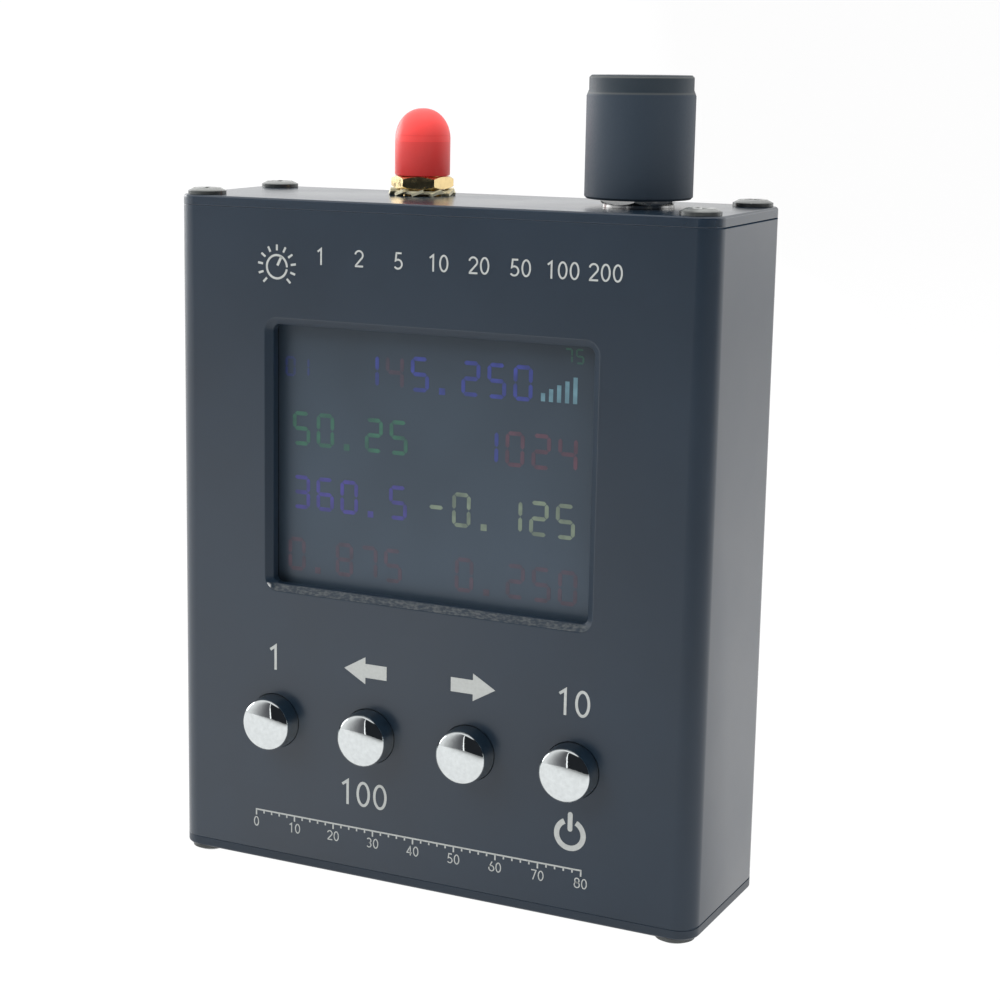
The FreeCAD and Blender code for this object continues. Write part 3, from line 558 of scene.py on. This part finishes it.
def screen_finish(base, foot, head):
    """Display face: dark, with the soft sheen of a polariser film, and a painted reflection that
    makes it paler towards its foot.
    """
    finish = Finish("display face", base, 0.36)
    cloud = finish.noise(0.05)
    # painted reflection: paler towards the foot
    pale = finish.combine("ADD", finish.spread(finish.along(UP), 0.75, 0.0, foot, head),
                          finish.spread(cloud, 0.0, 0.5))
    finish.tint(pale, scaled(base, 1.35), scaled(base, 0.8))
    return finish.vary_roughness(cloud, 0.03).material


def ink_finish(name, base):
    """Screen-printed ink: flat colour with slight mottling."""
    finish = Finish(name, base, 0.55)
    cloud = finish.noise(2.5, 3.0)
    return finish.mottle(cloud, 1.03, 0.93).bump(cloud, 0.003, 0.3).material


def lit_finish(name, base, glow):
    """A dim lit segment under the display face; the glow fades and swells along it."""
    finish = Finish(name, base, 0.36, Emission_Strength=1.0)
    swell = finish.spread(finish.noise(0.5), 0.0, 1.0)
    finish.set(Emission_Color=finish.mix(swell, scaled(glow, 0.55), scaled(glow, 1.15)))
    return finish.tint(swell, scaled(base, 1.1), scaled(base, 0.9)).material


def board_finish():
    """Green solder mask with darker copper areas under it."""
    finish = Finish("solder mask", (0.012, 0.085, 0.045), 0.35, Coat_Weight=0.3)
    pours = finish.noise(0.35, 1.0, rough=0.3)
    return finish.mottle(pours, 1.6, 0.8, 0.48, 0.52).bump(pours, 0.02, 0.5).material


# ------------ operators
class ANALYZER_OT_stage(Operator):
    """Sets the camera, the soft studio light, the floor and the backdrop"""
    bl_idname = "analyzer.stage"
    bl_label = "Stage"

    # the camera: place in millimetres, then its turn to the left, its tilt from straight down and
    # its roll in degrees
    place, turns = (133.3, -275.65, 116.27), ((27.93, "Z"), (90 - 11.26, "X"), (0.49, "Z"))
    lens, sensor, shift = 80.244, 36.0, (0.1187, -0.0046)
    # the room: edges of each zone in radians of turn or in sine of rise, then the colours
    light_sides = (-0.30, -1.20), (1.60, 2.00)
    dark_sides = (-0.21, -0.19), (1.95, 1.70)
    slit_sides = (-0.245, -0.235), (-0.195, -0.205)
    foot, ceiling_edge = (-0.30, -0.26), (0.86, 0.92)
    grey_wall, light_wall = (0.13, 0.13, 0.14), (0.95, 0.95, 0.95)
    dark_wall, slit, ceiling = (0.02, 0.022, 0.026), (1.6, 1.6, 1.6), (0.95, 0.95, 0.95)
    # the sheet fades in polished faces towards its front right edge and behind the right side:
    # a direction, the glow before and after, and where along it the glow changes
    sheet_glow = (((-0.8, 1.0, 0.0), (0.31, 1.06), (-0.36, -0.09)),
                  ((1.0, 0.5, 0.0), (1.0, 0.66), (0.15, 0.60)),
                  ((1.0, 0.5, 0.0), (1.0, 1.6), (1.0, 1.5)))
    # how much of the sheet glows for the camera and for polished faces
    camera_share, glossy_share = 0.95, 0.92
    # place and size in metres, power in watts, and whether polished faces show the lamp
    lamps = {
        "key lamp": ((-0.70, -0.75, 0.95), (0.8, 0.8), 11.0, False),
        "fill lamp": ((1.0, -0.3, 0.5), (0.7, 0.9), 4.2, False),
        "top lamp": ((0.0, 0.25, 1.1), (0.9, 0.6), 6.0, False),
        "right rim lamp": ((0.42, 0.62, 0.14), (0.7, 0.26), 0.1, True),
        "left rim lamp": ((-1.10, 0.25, 0.30), (0.9, 0.5), 4.6, True),
    }
    aim = (0.0, 0.0, 0.05)

    def camera(self):
        data = bpy.data.cameras.new("camera")
        data.lens, data.sensor_width = self.lens, self.sensor
        data.shift_x, data.shift_y = self.shift
        data.clip_start, data.clip_end = 0.01, 20.0
        camera = linked("camera", data)
        camera.matrix_world = Matrix.Translation(Vector(self.place) * MM)
        for turn, axis in self.turns:
            camera.matrix_world @= Matrix.Rotation(math.radians(turn), 4, axis)
        bpy.context.scene.camera = camera

    def lamp(self, name, place, size, power, glossy):
        data = bpy.data.lights.new(name, "AREA")
        data.shape = "RECTANGLE"
        data.size, data.size_y = size
        data.energy = power
        lamp = linked(name, data)
        lamp.location = place
        way = Vector(self.aim) - Vector(place)
        lamp.rotation_euler = way.to_track_quat("-Z", "Y").to_euler()
        lamp.visible_camera = False
        lamp.visible_glossy = glossy

    def floor(self, base):
        """Floor and backdrop in one sheet: y runs back, then z climbs along a quarter circle."""
        radius, front, back, half, high = 0.6, -0.75, 1.2, 2.4, 2.2
        turn = np.linspace(0, np.pi / 2, 25)
        run = np.concatenate([[front], back + radius * np.sin(turn), [back + radius]])
        climb = np.concatenate([[0.0], radius * (1 - np.cos(turn)), [high]])
        points = lattice([-half, half], run[:, None], climb[:, None])
        mesh = bpy.data.meshes.new("backdrop")
        mesh.from_pydata(points.tolist(), [], grid_faces(len(run), 2, closed=False).tolist())
        mesh.shade_smooth()
        sheet = linked("backdrop", mesh)

        paper = Finish("paper", base, 0.9)
        paper.mottle(paper.noise(0.02), 1.01, 0.99)
        rays = paper.add("ShaderNodeLightPath").outputs
        camera, glossy = rays["Is Camera Ray"], rays["Is Glossy Ray"]
        fade = 1.0
        for way, glows, reach in self.sheet_glow:
            fade = paper.combine("MULTIPLY", fade,
                                 paper.spread(paper.along(way), *glows, *reach))
        glow = paper.add("ShaderNodeEmission", Color=WHITE,
                         Strength=paper.combine("MAXIMUM", camera, fade))
        share = paper.combine("MAXIMUM", paper.combine("MULTIPLY", camera, self.camera_share),
                              paper.combine("MULTIPLY", glossy, self.glossy_share))
        both = paper.add("ShaderNodeMixShader", share, paper.shader.outputs[0], glow.outputs[0])
        paper.feed(paper.nodes["Material Output"], Surface=both.outputs[0])
        mesh.materials.append(paper.material)

    def world(self):
        """The room: walls that are dark in front and to the right, grey just left of a bright slit,
        and light farther round and overhead.  The turn is 0 in front and grows to the right."""
        world = bpy.data.worlds.new("studio")
        world.use_nodes = True
        room = Wiring(world.node_tree, "Generated")

        def edges(value, *zones):
            return [room.spread(value, 0.0, 1.0, *zone, interpolation_type="SMOOTHSTEP")
                    for zone in zones]

        turn = room.combine("ARCTAN2", room.along((1.0, 0.0, 0.0)), room.along((0.0, -1.0, 0.0)))
        over_floor, overhead = edges(room.along(UP), self.foot, self.ceiling_edge)
        tone = room.mix(room.combine("MAXIMUM", *edges(turn, *self.light_sides)), self.grey_wall,
                        self.light_wall)
        for sides, shade in ((self.dark_sides, self.dark_wall), (self.slit_sides, self.slit)):
            wall = room.combine("MULTIPLY", *edges(turn, *sides))
            tone = room.mix(room.combine("MULTIPLY", wall, over_floor), tone, shade)
        tone = room.mix(overhead, tone, self.ceiling)
        tone = room.mix(room.add("ShaderNodeLightPath").outputs["Is Camera Ray"], tone, WHITE)
        room.feed(room.nodes["Background"], Color=tone, Strength=1.0)
        bpy.context.scene.world = world

    def execute(self, context):
        self.camera()
        self.world()
        self.floor(context.scene.analyzer_colours.floor)
        for name, lamp in self.lamps.items():
            self.lamp(name, *lamp)
        context.scene.view_settings.view_transform = "Standard"
        return {"FINISHED"}


class ANALYZER_OT_case(Operator):
    """Finishes the extruded sleeve and its two end plates"""
    bl_idname = "analyzer.case"
    bl_label = "Case"

    # in millimetres: depth of the window's flare and what is left out at its edges, height of its
    # foot over the gasket's, and the place of a painted highlight at its lower left corner
    flare_depth, margin, foot, chip = 0.75, 0.02, 1.95, (-25.25, -11.0, 41.55)

    def flare(self, body, finish):
        """Gives the cut faces round the window their own finish: those whose middle lies within
        the gasket's outline, under the face and no deeper than the flare."""
        mesh = body.data
        mesh.materials.append(finish)
        low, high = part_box("display_gasket")
        middle = np.empty(len(mesh.polygons) * 3)
        mesh.polygons.foreach_get("center", middle)
        x, y, z = middle.reshape(-1, 3).T
        depth = (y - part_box("extruded_body")[0].y) / MM
        chosen = (x > low.x) & (x < high.x) & (z > low.z) & (z < high.z)
        chosen &= (depth > self.margin) & (depth < self.flare_depth - self.margin)
        mesh.polygons.foreach_set("material_index", chosen.astype(np.int32))

    def execute(self, context):
        sizes, colours, _ = settings(context)
        sleeve = sleeve_finish(colours.case, *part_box("extruded_body"))
        body = finished_copy("extruded_body", "case_sleeve", sleeve, sizes.case_edge)
        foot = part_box("display_gasket")[0].z + self.foot * MM
        # the place of the corner's painted highlight
        chip = [v * MM for v in self.chip]
        self.flare(body, cut_edge_finish(colours.case, colours.flare, foot, chip))
        top = anodised("anodised plate", colours.case, 0.23, 0.74, 0.2)
        # painted shade: the lower plate is a darker copy of the case's colour, 0.9 times as bright
        under = anodised("anodised lower plate", scaled(colours.case, 0.9), 0.42, 0.4, 0.12)
        for level, finish in (("top", top), ("bottom", under)):
            finished_copy(f"{level}_plate", f"case_{level}_plate", finish.material,
                          sizes.plate_edge)
        return {"FINISHED"}


class ANALYZER_OT_fasteners(Operator):
    """Finishes the eight case screws"""
    bl_idname = "analyzer.fasteners"
    bl_label = "Fasteners"

    def execute(self, context):
        edge = context.scene.analyzer_sizes.screw_edge
        for level, outer in (("top", 1), ("bottom", 0)):
            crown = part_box(f"{level}_plate_screws")[outer].z
            finish = screw_finish(f"blackened steel {level}", crown)
            finished_copy(f"{level}_plate_screws", f"{level}_screws", finish,
                          edge, 2)
        return {"FINISHED"}


class ANALYZER_OT_keys(Operator):
    """Makes the four domed chrome keys"""
    bl_idname = "analyzer.keys"
    bl_label = "Keys"

    def execute(self, context):
        sizes = context.scene.analyzer_sizes
        chrome = plated("bright chrome", (0.68, 0.715, 0.72), 0.04, relief=0.012)
        plastic = moulded("plunger plastic", (0.02, 0.02, 0.02))
        r, thick, rounding = sizes.key_diameter / 2, sizes.key_flange, 0.05 * MM
        wide = r + sizes.key_draft
        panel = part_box("extruded_body")[0].y
        for number in range(1, 5):
            low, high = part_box(f"key_cap_{number}")
            flange, shoulder = (high.x - low.x) / 2, high.y - low.y - sizes.key_rise
            inset = flange - rounding
            profile = np.vstack([[(0, 0)], arc((inset, rounding), rounding, -90, 0, 3),
                                 arc((inset, thick - rounding), rounding, 0, 90, 3),
                                 [(wide, thick), (wide, high.y - panel)],
                                 dome(r, sizes.key_rise, shoulder, 2.0)])
            points, faces = turned_surface(profile, 128)
            # stand the key out along -Y: (x, y, z) -> (x, -z, y)
            middle = (low + high) / 2
            points = points[:, [0, 2, 1]] * (1, -1, 1) + (middle.x, high.y, middle.z)
            key = piece(f"key_{number}_cap", points, faces, chrome, f"key_{number}")
            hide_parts(f"key_cap_{number}")
            dress(plastic, f"key_plunger_{number}")
        return {"FINISHED"}


class ANALYZER_OT_knob(Operator):
    """Finishes the tuning knob and the encoder under it"""
    bl_idname = "analyzer.knob"
    bl_label = "Knob"

    def execute(self, context):
        sizes, colours, _ = settings(context)
        steel = plated("nickel", colours.steel, 0.22)
        low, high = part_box("tuning_knob")
        plastic = knob_finish(colours.knob, low.z, high.z)
        finished_copy("tuning_knob", "knob_shell", plastic, sizes.knob_edge,
                      body="knob")
        finished_copy("encoder_nut", "encoder_hex_nut", steel, sizes.nut_edge)
        finished_copy("encoder_washer", "encoder_flat_washer", steel, sizes.nut_edge / 2)
        dress(steel, "encoder_bushing", "encoder_frame", "encoder_shaft", "encoder_pins")
        dress(moulded("encoder plastic", (0.02, 0.06, 0.045)), "encoder_housing")
        dress(moulded("pin plastic", (0.75, 0.75, 0.72)), "encoder_push_pin")
        return {"FINISHED"}


class ANALYZER_OT_jack(Operator):
    """Finishes the coaxial jack, its nut and star washer, and makes the dust cap"""
    bl_idname = "analyzer.jack"
    bl_label = "Jack and cap"

    # in millimetres: the barrel's inside, its play in the cap and its thread's run-out, the prongs
    # that straddle the board, the cap's crown and the rounds of its rim
    mouth, bore, chamfer, play, run_out = 4.65, 4.1, 0.25, 0.045, 0.4
    prong_thickness, prong_width = 1.1, 1.6
    crown, rim_inside, rim_outside = 0.9, 0.15, 0.2

    def barrel(self, finish, sizes):
        """The barrel with its square flange and prongs.  Its wall goes up the outside, over the
        rim and down the bore.  Outside, r = R - depth * t, where t runs 0, 1, 0 once a turn and
        once a pitch, and is held at 0 near both ends."""
        low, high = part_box("jack_body")
        x, y = (low.x + high.x) / 2, (low.y + high.y) / 2
        foot, mouth_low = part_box("jack_dielectric")[0].z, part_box("jack_dielectric")[1].z
        flange_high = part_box("extruded_body")[1].z
        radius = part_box("dust_cap")[1].x - x - sizes.cap_wall - self.play * MM
        chamfer, mouth, bore = (v * MM for v in (self.chamfer, self.mouth / 2, self.bore / 2))
        steps, segments = 150, 96
        r = [radius] * steps + [radius - chamfer, mouth + chamfer / 2, mouth, mouth, bore, bore]
        z = np.append(np.linspace(foot, high.z - chamfer, steps),
                      [high.z, high.z, high.z - chamfer / 2, mouth_low, mouth_low, foot])[:, None]
        angle = np.linspace(0, 2 * np.pi, segments, endpoint=False)
        phase = (z / sizes.thread_pitch - angle / (2 * np.pi)) % 1.0
        tooth = np.clip(1.4 * (1 - np.abs(2 * phase - 1)) - 0.2, 0, 1)
        to_end = np.minimum(z - flange_high, high.z - 2 * chamfer - z)
        depth = np.clip(to_end / (self.run_out * MM), 0, 1) * sizes.thread_depth
        depth[steps:] = 0
        points = rings(np.array(r)[:, None] - depth * tooth, z, angle) + (x, y, 0)
        # one more row of quads joins the bore's foot to the wall's
        faces = (grid_faces(len(z) + 1, segments) % len(points)).tolist()

        half, thick, wide = (high.x - low.x) / 2, self.prong_thickness * MM, self.prong_width * MM
        board_low, board_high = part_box("radio_board")
        blocks = [(rectangle(x - half, foot, x + half, flange_high), low.y, high.y)]
        blocks += [(rectangle(left, low.z, left + wide, foot), front, front + thick)
                   for left in (x - half, x + half - wide)
                   for front in (board_low.y - thick, board_high.y)]
        for outline, front, back in blocks:
            corners, sides = slabs([outline], front, back)
            faces += [[i + len(points) for i in side] for side in sides]
            points = np.vstack([points, corners])
        jack = piece("threaded_jack", points, faces, finish, "case", 30.0)
        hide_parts("jack_body")

    def cap(self, finish, sizes):
        """The dust cap: up the inside from the axis, round the rim, then up the outside."""
        low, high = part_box("dust_cap")
        outer, tall = (high.x - low.x) / 2, high.z - low.z
        bore, dome_low = outer - sizes.cap_wall, tall - sizes.cap_dome
        crown, within, out = (v * MM for v in (self.crown, self.rim_inside, self.rim_outside))
        rim = [(bore, within), (bore + within, 0.0), (outer - out, 0.0),
               (outer - 0.3 * out, 0.3 * out), (outer, out)]
        profile = np.vstack([dome(bore, sizes.cap_dome - crown, dome_low)[::-1], rim,
                             dome(outer, sizes.cap_dome, dome_low, 2.1, 32)])
        points, faces = turned_surface(profile)
        points += ((low.x + high.x) / 2, (low.y + high.y) / 2, low.z)
        cap = piece("vinyl_cap", points, faces, finish, "cap")
        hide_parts("dust_cap")

    def execute(self, context):
        sizes, colours, _ = settings(context)
        gold = plated("gold plate", colours.gold, 0.2)
        pale = plated("pale gold plate", colours.washer, 0.4, metallic=0.3)
        finished_copy("jack_nut", "jack_hex_nut", gold, sizes.nut_edge)
        finished_copy("jack_lock_washer", "jack_star_washer", pale, sizes.nut_edge / 3, 2)
        self.barrel(gold, sizes)
        dress(gold, "jack_contact")
        dress(moulded("white fluoroplastic", (0.82, 0.82, 0.79), 0.4), "jack_dielectric")
        barrel_high, cap_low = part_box("jack_body")[1].z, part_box("dust_cap")[0].z
        self.cap(vinyl_finish(colours.cap, barrel_high, cap_low), sizes)
        return {"FINISHED"}


class ANALYZER_OT_display(Operator):
    """Finishes the display behind the window"""
    bl_idname = "analyzer.display"
    bl_label = "Display"

    def execute(self, context):
        low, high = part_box("display_glass")
        glass = screen_finish(context.scene.analyzer_colours.glass, low.z, high.z)
        dress(glass, "display_glass")
        dress(moulded("foam", (0.006, 0.006, 0.007), 0.8, 1.5), "display_gasket")
        dress(moulded("chip epoxy", (0.012, 0.012, 0.013)), "display_driver_chip")
        dress(moulded("acrylic", (0.75, 0.78, 0.8), 0.2), "display_light_guide")
        dress(plated("pressed steel", (0.6, 0.6, 0.6), 0.3), "display_tray")
        dress(moulded("amber film", (0.35, 0.12, 0.02), 0.3), "display_flex")
        dress(moulded("foam tape", (0.7, 0.7, 0.66), 0.8), "display_tape")
        return {"FINISHED"}


class ANALYZER_OT_readings(Operator):
    """Lights the rows of seven-segment readings on the display face"""
    bl_idname = "analyzer.readings"
    bl_label = "Readings"

    # each reading: the words it comes from and which of them, its left edge and foot in millimetres
    # from the middle of the window, the colour and strength of its glow, and its size
    readings = {
        "1a": ("row_1", 0, -11.36, 10.3, "blue", 1.0, 1.0),
        "1b": ("row_1", 1, -11.36, 10.3, "red", 0.5, 1.0),
        "2a": ("row_2", 0, -22.2, 1.3, "green", 1.0, 1.0),
        "2b": ("row_2", 1, 6.85, 1.3, "blue", 1.0, 1.0),
        "2c": ("row_2", 2, 6.85, 1.3, "red", 1.0, 1.0),
        "3a": ("row_3", 0, -22.2, -7.8, "violet", 1.0, 1.0),
        "3b": ("row_3", 1, -0.95, -7.8, "lime", 1.0, 1.0),
        "4a": ("row_4", 0, -22.9, -16.8, "faint", 1.0, 1.0),
        "4b": ("row_4", 1, 3.45, -16.8, "faint", 1.0, 1.0),
        "corner": ("corner", 0, 18.95, 15.8, "green", 0.7, 0.42),
        "tag": ("tag", 0, -23.4, 11.0, "blue", 0.4, 0.58),
    }
    # the level bars: their place, number, pitch and width, the first one's height and the growth
    bars_x, bars_z, count, pitch, width, least, growth = 15.7, 10.5, 5, 1.15, 0.6, 1.1, 0.6

    def execute(self, context):
        sizes, colours, numbers = settings(context)
        low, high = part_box("display_gasket")
        middle = np.array([(low.x + high.x) / 2, (low.z + high.z) / 2])
        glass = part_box("display_glass")[0].y

        def light(name, outlines, glow):
            points, faces = slabs(outlines, glass - sizes.ink, glass + sizes.ink)
            finish = lit_finish(f"{name} glow", colours.glass, glow)
            piece(name, points, faces, finish, "case")

        for name, (source, part, x, z, shade, strength, size) in self.readings.items():
            figures = getattr(numbers, source).split()[part]
            outlines = reading(figures, *(middle + np.array([x, z]) * MM),
                               sizes.digit_height * size, sizes.digit_stroke * size)
            light(f"reading_{name}", outlines, scaled(getattr(colours, shade), strength))
        bars = []
        for i in range(self.count):
            left = self.bars_x + i * self.pitch
            bars.append(rectangle(left, self.bars_z, left + self.width,
                                  self.bars_z + self.least + i * self.growth))
        light("level_bars", middle + np.array(bars) * MM, colours.cyan)
        return {"FINISHED"}


class ANALYZER_OT_markings(Operator):
    """Prints the scale, ruler, key numbers, arrows and power sign on the panel"""
    bl_idname = "analyzer.markings"
    bl_label = "Markings"

    # in millimetres and degrees: x from the middle of the panel, z from the floor
    dial, dial_radius, dial_turn, dial_ticks, tick = (-23.5, 87.1), 3.05, (225, -45), 11, 0.8
    ring_radius, pointer_turn, dial_line, pointer_line = 1.6, 63, 0.3, 0.36
    arrow_tips, arrow_ways = ((-12.55, 31.47), (10.8, 31.47)), ((-1, 1), (1, 1))
    arrow = (0, 0), (-3.35, 1.95), (-3.35, 1), (-6.7, 1), (-6.7, -1), (-3.35, -1), (-3.35, -1.95)
    power, power_radius, power_line, power_turn = (22.27, 13.03), 1.94, 0.76, (116, 424)
    bar_foot, bar_rise, bar_half = 0.75, 0.88, 0.46
    ruler, ruler_top, ruler_ticks, ruler_line = (-27.0, 24.0), 8.2, 41, 0.22
    long_tick, short_tick, overlap = 0.85, 0.5, 0.05
    # rows of numbers: first and last x, foot, height; then the keys' numbers: x, foot; height
    scale_row, ruler_row = (-16.6, 25.2, 87.7, 2.3), (*ruler, 5.65, 1.45)
    key_height = 3.7
    key_numbers = {"first": (-23.9, 29.6), "second": (-9.4, 11.5), "fourth": (22.3, 29.6)}

    def execute(self, context):
        sizes, colours, numbers = settings(context)
        finish = ink_finish("white ink", colours.ink)
        panel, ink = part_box("extruded_body")[0].y, sizes.ink
        marks = {
            "dial_mark": self.dial_shapes(),
            "arrows": np.array(self.arrow) * np.array(self.arrow_ways)[:, None]
                      + np.array(self.arrow_tips)[:, None],
            "power_sign": self.power_shapes(),
            "ruler": self.ruler_shapes(),
            "scale_numbers": self.spread(numbers.scale, *self.scale_row),
            "ruler_numbers": self.spread(numbers.ruler, *self.ruler_row),
        }
        for text, (key, place) in zip(numbers.key_figures.split(), self.key_numbers.items()):
            marks[f"{key}_key_number"] = number(text, self.key_height, *place)
        for name, outlines in marks.items():
            points, faces = slabs([np.asarray(o) * MM for o in outlines], panel - ink, panel + ink)
            piece(name, points, faces, finish, "case")
        return {"FINISHED"}

    def spread(self, text, left, right, low, height):
        """Numbers at even steps from left to right."""
        texts = text.split()
        return [outline for part, x in zip(texts, np.linspace(left, right, len(texts)))
                for outline in number(part, height, x, low)]

    def dial_shapes(self):
        """Ticks on part of a circle, a ring that is almost closed, and a pointer."""
        centre, r, ring = np.array(self.dial), self.dial_radius, self.ring_radius
        lines = [[centre + on * (r - self.tick), centre + on * r]
                 for on in arc((0, 0), 1, *self.dial_turn, self.dial_ticks - 1)]
        lines.append(arc(centre, ring, 0, 350, 40))
        on = arc((0, 0), 1, self.pointer_turn, 0, 1)[0]
        pointer = stroke([centre + on * 0.2, centre + on * ring], self.pointer_line)
        return [stroke(line, self.dial_line) for line in lines] + [pointer]

    def power_shapes(self):
        """An open ring and a bar with round ends through its gap."""
        centre, r, half = np.array(self.power), self.power_radius, self.power_line * self.bar_half
        bar = np.vstack([arc(centre + (0, r + self.bar_rise), half, 0, 180, 10),
                         arc(centre + (0, self.bar_foot), half, 180, 360, 10)])
        return [stroke(arc(centre, r, *self.power_turn, 60), self.power_line), bar]

    def ruler_shapes(self):
        """Ticks, every fifth one longer, that hang from a thin line."""
        x, top = np.linspace(*self.ruler, self.ruler_ticks), self.ruler_top
        lines = [[(x[0] - self.ruler_line / 2, top), (x[-1] + self.ruler_line / 2, top)]]
        lines += [[(place, top - self.overlap),
                   (place, top - (self.short_tick if number % 5 else self.long_tick))]
                  for number, place in enumerate(x)]
        return [stroke(line, self.ruler_line) for line in lines]


class ANALYZER_OT_interior(Operator):
    """Gives the hidden boards, switches, battery and socket their finishes"""
    bl_idname = "analyzer.interior"
    bl_label = "Interior"

    def execute(self, context):
        dress(board_finish(), "front_board", "radio_board")
        dress(moulded("package epoxy", (0.012, 0.012, 0.013)), "front_board_chips",
              "radio_board_chips", "board_header", "switch_bases", "usb_tongue")
        dress(plated("tin", (0.68, 0.68, 0.66), 0.3), "shield_can", "switch_covers",
              "switch_legs", "usb_shell")
        dress(plated("pouch foil", (0.6, 0.6, 0.62), 0.35, 0.4), "battery_cell")
        dress(moulded("battery tape", (0.7, 0.7, 0.66), 0.8), "battery_tape")
        dress(moulded("lead insulation", (0.35, 0.02, 0.02), 0.4), "battery_leads")
        dress(moulded("nylon", (0.75, 0.73, 0.65), 0.45), "battery_plug")
        return {"FINISHED"}


class ANALYZER_PT_panel(Panel):
    """Lists the steps that build the analyzer"""
    bl_idname = "ANALYZER_PT_panel"
    bl_label = "Antenna Analyzer"
    bl_space_type = "VIEW_3D"
    bl_region_type = "UI"
    bl_category = "Analyzer"

    def draw(self, context):
        for step in STEPS:
            self.layout.operator(step.bl_idname)
        for group in settings(context):
            box = self.layout.box()
            for name in group.__annotations__:
                box.prop(group, name)


STEPS = (ANALYZER_OT_stage, ANALYZER_OT_case, ANALYZER_OT_markings, ANALYZER_OT_fasteners,
         ANALYZER_OT_display, ANALYZER_OT_readings, ANALYZER_OT_keys, ANALYZER_OT_knob,
         ANALYZER_OT_jack, ANALYZER_OT_interior)
CLASSES = (AnalyzerSizes, AnalyzerColours, AnalyzerNumbers, *STEPS, ANALYZER_PT_panel)


def register():
    for cls in CLASSES:
        bpy.utils.register_class(cls)
    bpy.types.Scene.analyzer_sizes = PointerProperty(type=AnalyzerSizes)
    bpy.types.Scene.analyzer_colours = PointerProperty(type=AnalyzerColours)
    bpy.types.Scene.analyzer_numbers = PointerProperty(type=AnalyzerNumbers)


def unregister():
    del bpy.types.Scene.analyzer_sizes
    del bpy.types.Scene.analyzer_colours
    del bpy.types.Scene.analyzer_numbers
    for cls in reversed(CLASSES):
        bpy.utils.unregister_class(cls)


def main():
    register()
    for step in STEPS:
        getattr(bpy.ops.analyzer, step.bl_idname.split(".")[1])()


if __name__ == "__main__":
    main()
